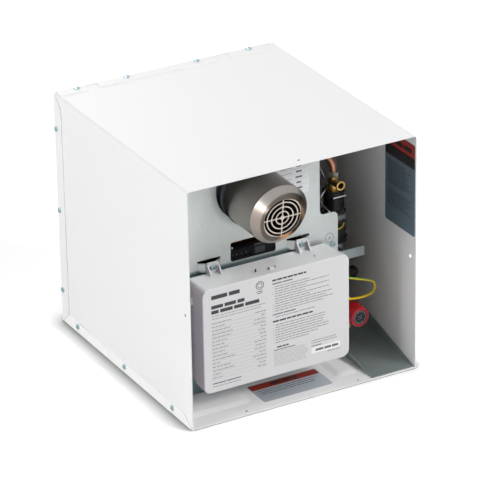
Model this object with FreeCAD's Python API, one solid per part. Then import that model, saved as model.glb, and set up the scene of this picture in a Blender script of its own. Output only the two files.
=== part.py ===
"""Built-in tankless gas water heater with its access door off.

Millimetres, +Z up, open front facing -Y, +X to the right seen from the front.
The origin is the centre of the case's underside.  A depth is measured from the
front edge of the case towards the back; at_depth() turns it into a Y value.
"""
import FreeCAD, Part
import math
import os

V = FreeCAD.Vector
RIGHT = V(1, 0, 0)
BACK = V(0, 1, 0)
UP = V(0, 0, 1)
LEFT = V(-1, 0, 0)
FRONT = V(0, -1, 0)
DOWN = V(0, 0, -1)

# ---------------------------------------------------------------- case
case_width = 320.0
case_height = 320.0
case_depth = 350.0
sheet = 1.2
case_corner_radius = 4.0
seam_gap = 0.3                 # slack between sheets that only lie next to each other
past = 1.0                     # how far a cutting solid runs past the face it opens

pan_flange_height = 15.0
pan_flange_lead = 4.0          # where the pan's side flange starts behind the front edge
pan_flange_ramp = 16.0
pan_ramp_start = 2.0           # height above the floor where the flange's ramp starts
pan_edge_radius = 1.0
pan_lip_inset = 2.0
back_strip_depth = 19.0
back_strip_chamfer = 14.0
back_shoulder = 3.0
back_corner_chamfer = 4.2
seam_width = 2.0
back_tab_depth = 16.0
back_tabs = [(3.0, 41.0), (59.0, 228.0), (248.0, 304.0)]   # spans from the left edge

side_screw_heights = [46.0, 159.5, 273.0]
pan_screw_depths = [49.0, 176.0, 305.0]
top_screw_places = [30.0, 101.0, 202.0, 279.0]             # from the left edge
rear_screw_inset = 5.0
pan_screw_height = 9.5

door_hole_radius = 2.5
door_hole_height = 151.6
door_hole_depth = 12.8
pan_hole_radius = 2.25
pan_hole_spacing = 160.0
pan_hole_depth = 8.5

pad_rise = 2.2
pad_slope = 9.0
pad_corner = 9.0
pad_crown_corner = 4.5
pad_front_depth = 25.0
pad_back_inset = 28.0
left_pad_margin = 9.0
left_pad_end = -61.0
right_pad_width = 32.3
right_pad_margin = 5.0         # between the right pad and the chute
foot_screw_inset = 19.8        # from the left pad's left edge
foot_screw_spacing = 45.0
foot_screw_right_inset = 14.0  # from the right pad's left edge

# ---------------------------------------------------------------- screws
screw_radius = 1.9
screw_hole_slack = 0.25
screw_tip_slack = 0.5
screw_crown = 0.62             # flat top of a head over its full width
screw_rim = 0.45               # height of a head's edge over its full height
screw_head_radius = 3.6
screw_head_height = 2.2
screw_length = 2.6             # sheet to sheet
ear_screw_length = 10.0
ear_hole_length = 12.0

# ---------------------------------------------------------------- front panel
panel_depth = 75.0
panel_upper_gap = 93.2         # from the right wall to the panel's upper right edge
panel_lower_gap = 67.5
notch_drop = 49.6              # panel's step below the flue axis
panel_notch_radius = 6.0
panel_corner_radius = 7.0
panel_flange = 12.0
window_left = -61.5
window_width = 63.7
window_drop = 82.1             # window's lower edge below the flue axis
window_height = 26.5
window_radius = 3.5
lug_x = -29.0
lug_spacing = 125.8
lug_width = 32.3
lug_height = 11.5
lug_reach = 6.0
lug_slant = 7.5
lug_foot = 2.5                 # a bent foot's inside stands this much in from its outside
lug_slot_above = 2.9
lug_slot_below = 1.5
lug_drop = 84.5                # lugs' lower edge below the flue axis
earth_screw_inset = 7.6        # from the panel's lower right edge
earth_screw_drop = 43.7        # below the notch

rail_height = 12.7
rail_drop = 35.9               # rail's lower edge below the lugs
rail_end_gap = 28.1
rail_length = 190.0
clamp_depth_slack = 0.2
clamp_wall = 2.0
clamp_inset = 2.0              # the clamp ring stands this much in from the rail's edges
clamp_arm_offset = 5.0
rail_screw_places = [30.0, 80.0]                           # right of the box's middle

# ---------------------------------------------------------------- flue
flue_x = -28.3
flue_drop = 65.4               # axis below the top of the case
flue_radius = 39.5
flue_wall = 0.8
flue_rim_depth = 13.0
flue_lip_depth = 1.0
flue_lip_radius = 28.0
flue_tilt = 7.0                # degrees that the end faces down, so that rain drips off
cone_wall = 1.0
cone_skirt = 3.0
cone_fold = 2.2                # depth at which the cone's inside starts behind its lip
skirt_slack = 1.0
grille_recess = 2.6
grille_thickness = 1.5
grille_rings = [8.7, 15.0, 21.3]
grille_bar = 1.5
grille_hub_radius = 3.0
grille_rim_width = 1.8
grille_fit = 0.1
seal_wall = 3.5
seal_length = 12.2
seal_foot = 3.0
seal_foot_thickness = 2.0
seal_foot_height = 3.5
seal_edge = 1.0
panel_hole_ease = 0.8
panel_slack_radius = 45.0      # larger hole that lets the pipe tip in, up and to the left
panel_slack_left = 7.0
panel_slack_up = 15.5
pipe_slack = 0.3

# ---------------------------------------------------------------- combustion
chamber_gap = 16.0             # between the front panel and the burner box
chamber_width = 150.0
chamber_sheet = 1.0
burner_height = 70.0
stand_height = 60.0            # underside of the burner box above the floor
stand_foot = 20.0
stand_right_foot = 14.0
stand_span_right = 19.0
stand_inset = 8.0
stand_window_inset = 18.0
stand_window_rise = 14.0
stand_window_radius = 5.0
stand_air_left = 30.0
stand_air_right = 40.0
stand_air_half_depth = 28.0
exchanger_clearance = 3.1      # from the flue pipe down to the collector's flange
collector_margin = 51.0        # collector height above the flue axis
collector_slope = 34.0
spigot_length = 10.0
core_height = 28.0
core_drop = 6.0
fin_count = 10
fin_thickness = 0.8
fin_clearance = 0.5
header_length = 14.0
header_radius = 6.0
tube_stub_left = 4.0
tube_stub_right = 8.0
water_tube_radius = 8.0
water_tube_wall = 1.0
water_port_spacing = 60.0
burner_count = 8
burner_bar_width = 9.0
burner_bar_height = 42.0
burner_bar_lift = 14.0
burner_margin = 7.0
burner_back_gap = 4.0
burner_bar_end = 16.0          # full-height ends of a bar, in front of and behind its arch
burner_slot = 1.2
burner_slot_places = [-2.2, 0.6]                           # from the bar's middle
burner_slot_inset = 4.0
burner_slot_depth = 3.0
throat_slack = 0.8
throat_length = 14.0
manifold_size = 9.0
manifold_wall = 1.5
manifold_height = 84.0
manifold_ear_inset = 4.0
manifold_ear_width = 10.0
jet_radius = 2.2
jet_bore = 1.0
jet_length = 6.0
jet_end_gap = 1.0
jet_hole_slack = 1.0
module_thickness = 9.0
module_width = 84.0
module_height = 24.0
module_drop = 9.5              # module's lower edge below the window's
module_left_reach = 8.0        # module's left edge beyond the window's
module_gap = 0.8               # between the front panel and the module's face
module_rib_places = [39.0, 58.0]                           # from the module's left edge
module_rib_width = 4.0
module_rib_inset = 2.0
module_ridge_drop = 3.0
module_ridge_height = 1.5
module_vent_count = 5
module_vent_start = 11.5
module_vent_pitch = 5.6
module_vent_width = 3.2
module_vent_rise = 12.0
module_vent_height = 2.6
module_vent_depth = 2.0
module_vent_corner = 1.0
module_foot_inset = 6.0
module_foot_rise = 6.0
module_foot_thickness = 3.0
electrode_radius = 3.2
electrode_length = 26.0
electrode_drop = 8.0           # below the burner box's top
electrode_inset = 26.0
electrode_reach = 9.0          # in front of the burner box
electrode_tip_radius = 0.9
electrode_tip_length = 12.0
electrode_stub_radius = 1.3
electrode_stub_length = 4.0
thermostat_radius = 8.0
thermostat_height = 7.0
thermostat_depth = 18.0        # behind the heat exchanger's front
thermostat_rise = 24.0         # above the burner box
thermostat_plate = 1.5
thermostat_plate_half_depth = 12.0
thermostat_plate_half_height = 9.0
capillary_radius = 0.9
capillary_bend = 6.0
capillary_rise = 11.0          # its top run above the flue axis
capillary_stand_off = 4.0
bulb_radius = 1.6
bulb_length = 5.0
capillary_offset = 25.8        # capillary's turn, left of the water column
stem_offset = 27.8
branch_radius = 1.2

# ---------------------------------------------------------------- fan
fan_back_gap = 62.0            # fan axis in front of the back panel
fan_height = 112.0
fan_width = 50.0
fan_wall = 1.5
fan_outlet_height = 34.0
fan_reach = 56.0               # fan axis behind the burner box
fan_right_inset = 97.0         # fan's right side from the burner box's left
scroll_radii = [44.0, 47.0, 50.0, 50.0]
scroll_tongue_angle = 172
inlet_lip_wall = 2.0
inlet_lip_length = 4.0
impeller_radius = 38.0
impeller_inner = 31.0
impeller_blades = 18
impeller_sheet = 1.2
blade_stretch = 1.12           # length of a leaning blade over that of an upright one
blade_foot_gap = 0.2
blade_thickness = 0.9
blade_sweep = 34.0             # degrees that a blade leans forward
impeller_side_gap = 4.0
fan_inlet_radius = 27.0
shaft_radius = 3.0
running_clearance = 0.05
slip = 0.05
motor_radius = 22.0
motor_length = 41.0
motor_cap_inset = 6.0
motor_cap_reach = 2.0
motor_flange_rim = 5.0
motor_flange_thickness = 2.0
hub_radius = 7.0
hub_length = 12.0
hub_hole_slack = 1.5
shaft_tip = 2.0

# ---------------------------------------------------------------- gas side
gas_line_gap = 8.7             # gas line beside the burner box
gas_height = 63.8
gas_fitting_radius = 7.9
gas_fitting_length = 19.0
gas_nut_across = 19.0
gas_inner_nut = 7.0
gas_outer_nut = 5.0
flare_step = 1.5
flare_length = 4.0
gas_feed_radius = 6.0
gas_feed_bore = 3.3
gas_tube_radius = 4.8
gas_tube_wall = 1.0
gas_outlet_drop = 6.0          # valve outlet below the manifold's axis
gas_inlet_depth = 20.0
gas_valve_width = 36.0
gas_valve_length = 54.0
gas_valve_height = 46.0
gas_valve_gap = 62.0           # valve body in front of the back panel
gas_valve_corner = 5.0
gas_valve_foot_inset = 4.0
coil_radius = 11.0
coil_height = 28.0
coil_spacing = 26.0
coil_cap = 4.0
yoke_reach = 0.6
yoke_half_depth = 7.0
yoke_thickness = 2.0
plunger_bore = 5.0
plunger_clearance = 0.1
plunger_travel = 2.0
plunger_seat_gap = 0.3
plunger_top_gap = 2.0
plunger_depth = 10.0
plunger_tip_length = 2.0
plunger_tip_step = 1.2
plunger_cone_length = 1.0
plunger_neck_length = 6.0
plunger_neck_step = 1.6

# ---------------------------------------------------------------- water side
water_gap = 51.0               # water column's axis from the right wall
water_depth = 113.2
water_height = 63.8            # axis of the cold inlet and the relief valve
tee_radius = 11.0
tee_length = 25.0
tee_neck = 15.0
union_across = 24.0
union_length = 9.2
riser_radius = 9.5
riser_bore = 6.5
tight_bend_share = 0.6         # radius of a bend over the short run that limits it
sensor_drop = 0.1              # sensor's foot below the rail's upper edge
sensor_flange_radius = 17.2
sensor_flange_thickness = 6.0
sensor_radius = 15.8
sensor_bore = 9.0
sensor_height = 27.0
plug_reach = 1.5
plug_root = 5.0
plug_left = 1.5
plug_right = 8.0
plug_half_height = 4.0
bowl_radius = 15.0
bowl_height = 12.4
bowl_neck_height = 3.0
bowl_neck_step = 2.0
valve_radius = 12.4
valve_waist = 11.0
valve_height = 30.3
valve_bore = 7.0
valve_foot_height = 6.0
valve_rib_count = 5
valve_rib_pitch = 2.6
valve_rib_height = 1.2
valve_rib_reach = 0.5
valve_collar_height = 7.0
valve_collar_radius = 14.4
valve_collar_slope = 2.0
valve_collar_edge = 1.0
clip_height = 1.8
clip_bar = 1.5
clip_width = 18.6
clip_leg_reach = 12.0
clip_drop = 5.2                # clip's middle below the valve's top
bleed_height = 16.5
bleed_radius = 6.8
bleed_foot = 2.5
bleed_foot_height = 1.0
bleed_port_rise = 9.9          # above the foot
bleed_lip = 0.6
bleed_lip_length = 2.2
bleed_port_reach = 18.7
bleed_port_radius = 5.6
bleed_port_bore = 4.0
collar_height = 6.6
collar_across = 12.4
collar_seat = 1.5
pipe_end_gap = 0.1
copper_radius = 4.7
copper_wall = 0.9
gooseneck_rise = 26.5
gooseneck_x_gap = 21.0         # descending leg beside the heat exchanger
gooseneck_bend = 26.0
pipe_bend = 12.0
pipe_last_bend = 9.6
socket_gap = 1.0
socket_wall = 1.2
socket_length = 9.0
hot_pipe_gap = 27.0
hot_first_bend = 10.8
hot_bend = 15.6
hot_drop_gap = 60.0            # pipe's drop in front of the back panel
cold_pipe_radius = 7.5
hot_pipe_radius = 6.5
water_pipe_wall = 1.0
fitting_radius = 10.65         # half-inch male pipe thread
fitting_bore = 7.6
fitting_length = 21.0
fitting_nut_across = 27.0
fitting_nut_length = 8.0
hot_fitting_x = 58.0
turbine_height = 9.0
turbine_blades = 4
turbine_rise = 1.0             # wheel's middle above the sensor's
turbine_end_gap = 0.4
turbine_blade = 1.0
turbine_blade_lean = 24.0
turbine_hub = 3.0
turbine_radius = 8.3
turbine_pin = 1.2
spider_thickness = 2.0
spider_arm = 2.4
filter_cap_height = 94.2
filter_cap_radius = 7.6
filter_cap_length = 15.0
cap_chamfer = 2.5
cap_chamfer_length = 3.0
cap_groove_count = 10
cap_groove_width = 1.6
cap_groove_depth = 0.9
cap_groove_inset = 3.0
filter_port_radius = 6.0
filter_port_bore = 4.5
filter_port_length = 8.5
gland_x = -62.0
gland_height = 40.0
gland_radius = 10.0
gland_bore = 5.0
gland_barrel_radius = 8.0
gland_inner_nut = 4.0
gland_outer_nut = 5.0
gland_dome_radius = 9.0
gland_dome_length = 9.0
gland_dome_slope = 4.0
gland_dome_step = 2.5

# ---------------------------------------------------------------- relief valve
knob_front_depth = 48.2
knob_radius = 12.7
knob_back_radius = 14.3
knob_length = 20.0
knob_wall = 2.0
knob_recess = 1.4
disc_radius = 9.8
disc_thickness = 0.9
disc_fit = 0.1
knob_edge = 0.8
knob_back_edge = 0.6
bonnet_length = 12.0
bonnet_clearance = 0.3
bonnet_setback = 4.0           # knob's back edge behind the bonnet's front, less its length
bonnet_wall = 4.0
relief_hex_length = 9.0
relief_body_radius = 11.0
relief_bore = 7.4
relief_neck_wall = 1.6
seat_bore = 4.5
seat_thickness = 4.0
seat_gap = 0.3                 # between the closed sealing head and its seat
spindle_radius = 2.4
spindle_head_radius = 6.4
spindle_head_thickness = 3.0
spindle_lift = 1.5
spindle_collar = 2.0           # both its reach beyond the stem and its thickness
spindle_front_reach = 4.5
collar_space = 5.5             # knob's inner face in front of the bonnet, less the lift
spring_wire = 0.8
spring_radius = 4.6
spring_turns = 5
spout_gap = 0.4                # between the spout and the joint's nut
spout_radius = 8.0
spout_bore = 5.8
spout_bottom = 38.0

# ---------------------------------------------------------------- drain chute
chute_front_depth = 2.0
chute_back_depth = 116.0
chute_width = 61.1
chute_wall_gap = 0.4           # between the chute and the right wall
chute_rise = 12.0
chute_left_flange = 11.0
chute_right_flange = 20.0
chute_sheet = 1.0

# ---------------------------------------------------------------- control box
box_x = -27.0
box_bottom = 29.8
box_front_depth = 22.5
lid_width = 207.0
box_top_rise = 1.6             # lid's top above the lugs' lower edge
lid_depth = 24.0
lid_draft = 0.8
lid_corner = 10.0
lid_edge = 1.6
lid_wall = 2.2
lid_seat = 2.5                 # rib inside the lid that the tray's rim closes on
rim_fit = 0.2
lid_slots = [(-18.0, 1.6), (-0.6, 1.6), (8.0, 2.4), (64.0, 1.4)]   # place and width of each
lid_slot_depth = 3.0
lid_slot_setback = 3.6         # slots in front of the lid's back edge
lid_slot_drop = 6.0
tray_step = 2.4
tray_wall = 2.2
tray_draft = 1.0
tray_lap = 3.0                 # how far the tray reaches into the lid
tray_corner = 7.0
ear_root = 3.0
ear_corner = 2.0
gusset_root = 1.0
ear_slot_slack = 0.2
ear_width = 16.4
ear_height = 13.4
ear_screw_rise = 7.0
ear_thickness = 3.0
gusset_thickness = 1.8
gusset_reach = 9.5
ear_slot = 10.4
ear_offset = 1.0               # ears sit a little right of the lugs' middles
side_tab_height = 9.5
side_tab_reach = 7.0
side_tab_from_top = 19.0
side_tab_setback = 8.0         # behind the tray's front edge
board_thickness = 1.6
board_margin = 12.0
board_post_inset = 4.0
board_overhang = 2.0           # board's edge beyond its margin
board_corner = 3.0
board_hole_radius = 1.6
board_blocks = [               # side and height from the board's middle, width, height, reach
    (-62.0, 22.0, 34.0, 28.0, 20.0), (-20.0, 30.0, 18.0, 15.0, 14.0),
    (4.0, 30.0, 18.0, 15.0, 14.0), (46.0, 26.0, 28.0, 18.0, 12.0),
    (-60.0, -34.0, 30.0, 9.0, 10.0), (-16.0, -40.0, 40.0, 9.0, 10.0),
    (44.0, -40.0, 36.0, 9.0, 10.0), (52.0, -6.0, 12.0, 30.0, 16.0)]
board_cans = [                 # side and height from the board's middle, radius, reach
    (-22.0, -2.0, 6.5, 18.0), (-4.0, -2.0, 6.5, 18.0), (16.0, -6.0, 5.0, 14.0)]
post_height = 8.0
post_radius = 3.5

# ---------------------------------------------------------------- leads
lead_arc_share = 0.45          # part of the shorter run that an arc may take at each end
earth_lead_radius = 1.4
sensor_lead_radius = 0.85

# ================================================================ derived
half_width = case_width / 2
left_wall = sheet - half_width
right_wall = half_width - sheet
ceiling = case_height - sheet
pan_top = sheet
pad_top = sheet + pad_rise

flue_z = case_height - flue_drop
panel_back_depth = panel_depth + sheet
panel_upper_edge = right_wall - panel_upper_gap
panel_lower_edge = right_wall - panel_lower_gap
panel_notch_height = flue_z - notch_drop
window_bottom = flue_z - window_drop
lug_bottom = flue_z - lug_drop
rail_bottom = lug_bottom - rail_drop
module_bottom = window_bottom - module_drop
sensor_bottom = rail_bottom + rail_height - sensor_drop
bowl_bottom = sensor_bottom + sensor_height
valve_bottom = bowl_bottom + bowl_height
valve_top = valve_bottom + valve_height
clip_level = valve_top - clip_drop

chamber_front = panel_back_depth + chamber_gap
fan_depth = case_depth - fan_back_gap
chamber_back = fan_depth - fan_reach
chamber_left = flue_x - chamber_width / 2
chamber_right = flue_x + chamber_width / 2
burner_top = stand_height + burner_height
exchanger_top = flue_z - flue_radius - exchanger_clearance
collector_top = flue_z + collector_margin
core_top = exchanger_top - core_drop
core_z = core_top - core_height / 2
chamber_middle = (chamber_front + chamber_back) / 2
port_depths = [chamber_middle - water_port_spacing / 2, chamber_middle + water_port_spacing / 2]

water_x = right_wall - water_gap
gas_x = chamber_left - gas_line_gap
column_top = valve_top + bleed_foot_height + bleed_height + collar_height

chute_right = right_wall - chute_wall_gap
chute_left = chute_right - chute_width
right_pad_start = chute_left - right_pad_margin - right_pad_width

box_top = lug_bottom + box_top_rise
lid_height = box_top - box_bottom
lid_back_depth = box_front_depth + lid_depth
tray_back_depth = panel_depth - lug_reach
tray_width = lid_width - 2 * (lid_draft + tray_step)
tray_height = lid_height - 2 * (lid_draft + tray_step / 2)
box_z = box_bottom + lid_height / 2
tray_top = box_z + tray_height / 2
tray_bottom = box_z - tray_height / 2
lug_top = lug_bottom + lug_height
bonnet_front = knob_front_depth + knob_length - bonnet_length + bonnet_setback
manifold_depth = (panel_back_depth + sheet + chamber_front) / 2
plug_front = water_depth - sensor_radius - plug_reach
lug_places = [lug_x - lug_spacing / 2, lug_x + lug_spacing / 2]
ear_places = [place + ear_offset for place in lug_places]
ear_screw_z = tray_top + ear_screw_rise

fan_right = chamber_left + fan_right_inset
fan_left = fan_right - fan_width


def at_depth(depth):
    """Y value of a depth measured from the front edge of the case."""
    return depth - case_depth / 2


def at(x, depth, z):
    """Point from a side position, a depth and a height."""
    return V(x, at_depth(depth), z)


# ================================================================ shape helpers
def block(x0, x1, depth0, depth1, z0, z1):
    """Box between two side positions, two depths and two heights."""
    return Part.makeBox(x1 - x0, depth1 - depth0, z1 - z0, at(x0, depth0, z0))


def rod(radius, start, direction, length):
    return Part.makeCylinder(radius, length, start, direction)


def tube(radius, bore, start, direction, length):
    return rod(radius, start, direction, length).cut(rod(bore, start, direction, length))


def side_of(direction):
    """A unit vector square to an axis."""
    return V(0, 0, 1) if abs(direction.z) < 0.5 else V(1, 0, 0)


def turned(profile, origin, direction):
    """Solid of revolution from (radius, height) corners along an axis."""
    out = side_of(direction)
    corners = [origin + out * radius + direction * height for radius, height in profile]
    face = Part.Face(Part.makePolygon(corners + corners[:1]))
    return face.revolve(origin, direction, 360)


def hexagon(across_flats, start, direction, length):
    """Hexagonal bar along an axis."""
    out = side_of(direction)
    across = direction.cross(out)
    reach = across_flats / math.sqrt(3)
    corners = []
    for corner in range(6):
        angle = math.radians(60 * corner)
        corners.append(start + out * (reach * math.cos(angle)) + across * (reach * math.sin(angle)))
    face = Part.Face(Part.makePolygon(corners + corners[:1]))
    return face.extrude(direction * length)


def joined(shapes):
    """One solid from pieces that touch or overlap."""
    first, rest = shapes[0], shapes[1:]
    result = first.multiFuse(rest) if rest else first
    return result.removeSplitter()


def group(shapes):
    """Several separate solids of one node."""
    return Part.makeCompound(shapes)


def rounded_wire(corners, place):
    """Closed wire through (a, b, radius) corners; place() puts (a, b) in space."""
    count = len(corners)
    starts, middles, ends = [], [], []
    for index, (a, b, radius) in enumerate(corners):
        here = V(a, b, 0)
        before = V(corners[index - 1][0], corners[index - 1][1], 0)
        after = V(corners[(index + 1) % count][0], corners[(index + 1) % count][1], 0)
        back_way = (before - here).normalize()
        forward_way = (after - here).normalize()
        if radius <= 0:
            starts.append(here)
            middles.append(None)
            ends.append(here)
            continue
        half = back_way.getAngle(forward_way) / 2
        reach = radius / math.tan(half)
        bisector = (back_way + forward_way).normalize()
        starts.append(here + back_way * reach)
        middles.append(here + bisector * (radius / math.sin(half) - radius))
        ends.append(here + forward_way * reach)
    edges = []
    for index in range(count):
        if middles[index] is not None:
            points = [place(p.x, p.y) for p in (starts[index], middles[index], ends[index])]
            edges.append(Part.Arc(*points).toShape())
        start = place(ends[index].x, ends[index].y)
        end = place(starts[(index + 1) % count].x, starts[(index + 1) % count].y)
        if start.distanceToPoint(end) > 1e-6:
            edges.append(Part.LineSegment(start, end).toShape())
    return Part.Wire(edges)


def rounded_rectangle(a0, a1, b0, b1, radius):
    return [(a0, b0, radius), (a1, b0, radius), (a1, b1, radius), (a0, b1, radius)]


def upright_plate(corners, depth, thickness):
    """Plate facing the front, from (x, z, radius) corners."""
    wire = rounded_wire(corners, lambda x, z: at(x, depth, z))
    return Part.Face(wire).extrude(BACK * thickness)


def side_plate(corners, x, thickness):
    """Plate facing sideways, from (depth, z, radius) corners."""
    wire = rounded_wire(corners, lambda depth, z: at(x, depth, z))
    return Part.Face(wire).extrude(RIGHT * thickness)


def tapered_box(front, depth0, back, depth1):
    """Loft between two (x0, x1, z0, z1, radius) rectangles at two depths."""
    wires = []
    for (x0, x1, z0, z1, radius), depth in ((front, depth0), (back, depth1)):
        corners = rounded_rectangle(x0, x1, z0, z1, radius)
        wires.append(rounded_wire(corners, lambda x, z, d=depth: at(x, d, z)))
    return Part.makeLoft(wires, True)


def bent_path(points, bends):
    """Straight runs joined by tangent arcs; bends holds one radius per inner point."""
    edges = []
    start = points[0]
    for index, bend in enumerate(bends):
        corner = points[index + 1]
        back_way = (points[index] - corner).normalize()
        forward_way = (points[index + 2] - corner).normalize()
        half = back_way.getAngle(forward_way) / 2
        reach = bend / math.tan(half)
        bisector = (back_way + forward_way).normalize()
        arc_start = corner + back_way * reach
        arc_middle = corner + bisector * (bend / math.sin(half) - bend)
        arc_end = corner + forward_way * reach
        if start.distanceToPoint(arc_start) > 1e-6:
            edges.append(Part.LineSegment(start, arc_start).toShape())
        edges.append(Part.Arc(arc_start, arc_middle, arc_end).toShape())
        start = arc_end
    edges.append(Part.LineSegment(start, points[-1]).toShape())
    return Part.Wire(edges)


def swept(path, radius):
    """Round bar along a path: a cylinder for each run, a piece of a ring for each arc."""
    pieces = []
    for edge in path.Edges:
        start = edge.valueAt(edge.FirstParameter)
        direction = edge.tangentAt(edge.FirstParameter)
        section = Part.Face(Part.Wire(Part.makeCircle(radius, start, direction)))
        if isinstance(edge.Curve, Part.Circle):
            centre = edge.Curve.Center
            axis = (start - centre).cross(direction)
            turn = math.degrees(edge.Length / edge.Curve.Radius)
            pieces.append(section.revolve(centre, axis, turn))
        else:
            pieces.append(section.extrude(direction * edge.Length))
    return joined(pieces)


def bent_tube(points, bends, radius, wall):
    path = bent_path(points, bends)
    return swept(path, radius).cut(swept(path, radius - wall))


def lead(name, points, radius):
    """Wire along runs whose arcs are as large as the runs allow."""
    runs = [(b - a).Length for a, b in zip(points, points[1:])]
    bends = []
    for index in range(1, len(points) - 1):
        back_way = points[index - 1] - points[index]
        forward_way = points[index + 1] - points[index]
        half_turn = (math.pi - back_way.getAngle(forward_way)) / 2
        bends.append(lead_arc_share * min(runs[index - 1], runs[index]) / math.tan(half_turn))
    path = bent_path(points, bends)
    solid = swept(path, radius)
    share = solid.Volume / (math.pi * radius ** 2 * path.Length)
    print(name, "radii", [round(bend, 1) for bend in bends], "length", round(path.Length, 1),
          "volume share", round(share, 3))
    return solid


def screw(head_seat, direction, length):
    """Pan-head screw; its head stands on head_seat and its shank goes the other way."""
    profile = [(0, -length), (screw_radius, -length), (screw_radius, 0), (screw_head_radius, 0),
               (screw_head_radius, screw_head_height * screw_rim),
               (screw_head_radius * screw_crown, screw_head_height), (0, screw_head_height)]
    return turned(profile, head_seat, direction)


def screw_hole(seat, direction, length):
    """Clearance for a shank, starting just in front of its seat."""
    return rod(screw_radius + screw_hole_slack, seat + direction * past, direction * -1,
               past + length + screw_tip_slack)


# ================================================================ screw places
def case_screw_places():
    """Seat and outward direction of each screw that holds the case together."""
    rear = case_depth - rear_screw_inset
    places = []
    for side, way in ((-1, LEFT), (1, RIGHT)):
        outside = side * (half_width + sheet)
        for height in side_screw_heights:
            places.append((at(outside, rear, height), way))
        for depth in pan_screw_depths:
            places.append((at(outside, depth, pan_screw_height), way))
    for place in top_screw_places:
        places.append((at(place - half_width, rear, case_height + sheet), UP))
    return places


def flange_screw_places():
    """Screws that hold the front panel's foot flange to the raised pads."""
    depth = panel_back_depth + panel_flange / 2
    first = left_wall + left_pad_margin + foot_screw_inset
    places = (first, first + foot_screw_spacing, right_pad_start + foot_screw_right_inset)
    return [at(x, depth, pad_top + sheet) for x in places]


def rail_screw_seats():
    z = rail_bottom + rail_height / 2
    return [at(box_x + place, panel_depth, z) for place in rail_screw_places]


def ear_screw_places():
    return [at(x, tray_back_depth - ear_thickness, ear_screw_z) for x in ear_places]


def earth_screw_place():
    return at(panel_lower_edge - earth_screw_inset, panel_depth,
              panel_notch_height - earth_screw_drop)


# ================================================================ case
def case_wrapper():
    """Top and both sides, bent from one sheet."""
    back = case_depth - sheet

    def hull(inset, floor):
        shape = block(inset - half_width, half_width - inset, 0, back, floor, case_height - inset)
        tops = [e for e in shape.Edges
                if abs(e.Length - back) < 1e-6 and e.CenterOfMass.z > case_height / 2]
        return shape.makeFillet(case_corner_radius - inset, tops)

    shape = hull(0, pan_top).cut(hull(sheet, pan_top - past))
    for x, way in ((-half_width, RIGHT), (half_width, LEFT)):
        hole = at(x, door_hole_depth, door_hole_height) - way * past
        shape = shape.cut(rod(door_hole_radius, hole, way, sheet + 2 * past))
    top_hole = at(0, door_hole_depth, ceiling - past)
    shape = shape.cut(rod(door_hole_radius, top_hole, UP, sheet + 2 * past))
    for seat, way in case_screw_places():
        shape = shape.cut(screw_hole(seat, way, screw_length))
    return shape


def pad(x0, x1, depth0, depth1, grow, z0, z1):
    """Raised pad of the pan with sloping sides; grow moves every side outwards."""
    foot = rounded_rectangle(x0 - grow, x1 + grow, depth0 - grow, depth1 + grow, pad_corner + grow)
    slope = pad_slope
    crown = rounded_rectangle(x0 + slope - grow, x1 - slope + grow, depth0 + slope - grow,
                              depth1 - slope + grow, pad_crown_corner + grow)
    wires = [rounded_wire(foot, lambda x, depth: at(x, depth, z0)),
             rounded_wire(crown, lambda x, depth: at(x, depth, z1))]
    return Part.makeLoft(wires, True)


def pan_pads():
    back = case_depth - pad_back_inset
    return [(left_wall + left_pad_margin, left_pad_end, pad_front_depth, back),
            (right_pad_start, chute_left - right_pad_margin, pad_front_depth, back)]


def base_pan():
    """Floor of the case with upturned side flanges, a rear lip and two raised pads."""
    outside = half_width + sheet
    back = case_depth - sheet
    floor = block(-outside, outside, 0, back, 0, sheet)
    edges = [e for e in floor.Edges
             if abs(e.Length - back) < 1e-6 and e.CenterOfMass.z < 0.1]
    floor = floor.makeFillet(pan_edge_radius, edges)
    lead_in = pan_flange_lead
    seam = case_depth - back_strip_depth
    flange = [(lead_in, sheet / 2, 0), (lead_in, sheet + pan_ramp_start, 0),
              (lead_in + pan_flange_ramp, pan_flange_height, 0), (seam, pan_flange_height, 0),
              (seam + pan_flange_height - sheet / 2, sheet / 2, 0)]
    pieces = [floor, side_plate(flange, -outside, sheet), side_plate(flange, half_width, sheet)]
    lip_reach = right_wall - pan_lip_inset
    pieces.append(block(-lip_reach, lip_reach, back - sheet, back, sheet / 2, pan_flange_height))
    for x0, x1, depth0, depth1 in pan_pads():
        pieces.append(pad(x0, x1, depth0, depth1, 0, sheet, pad_top))
    shape = joined(pieces)
    for x0, x1, depth0, depth1 in pan_pads():
        hollow = pad(x0, x1, depth0, depth1, -sheet / 2, 0, pad_top - sheet)
        shape = shape.cut(hollow)
    for side in (-1, 1):
        start = at(side * pan_hole_spacing / 2, pan_hole_depth, -past)
        shape = shape.cut(rod(pan_hole_radius, start, UP, sheet + 2 * past))
    for seat, way in case_screw_places():
        shape = shape.cut(screw_hole(seat, way, screw_length))
    for seat in flange_screw_places():
        shape = shape.cut(screw_hole(seat, UP, screw_length))
    return shape


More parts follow.
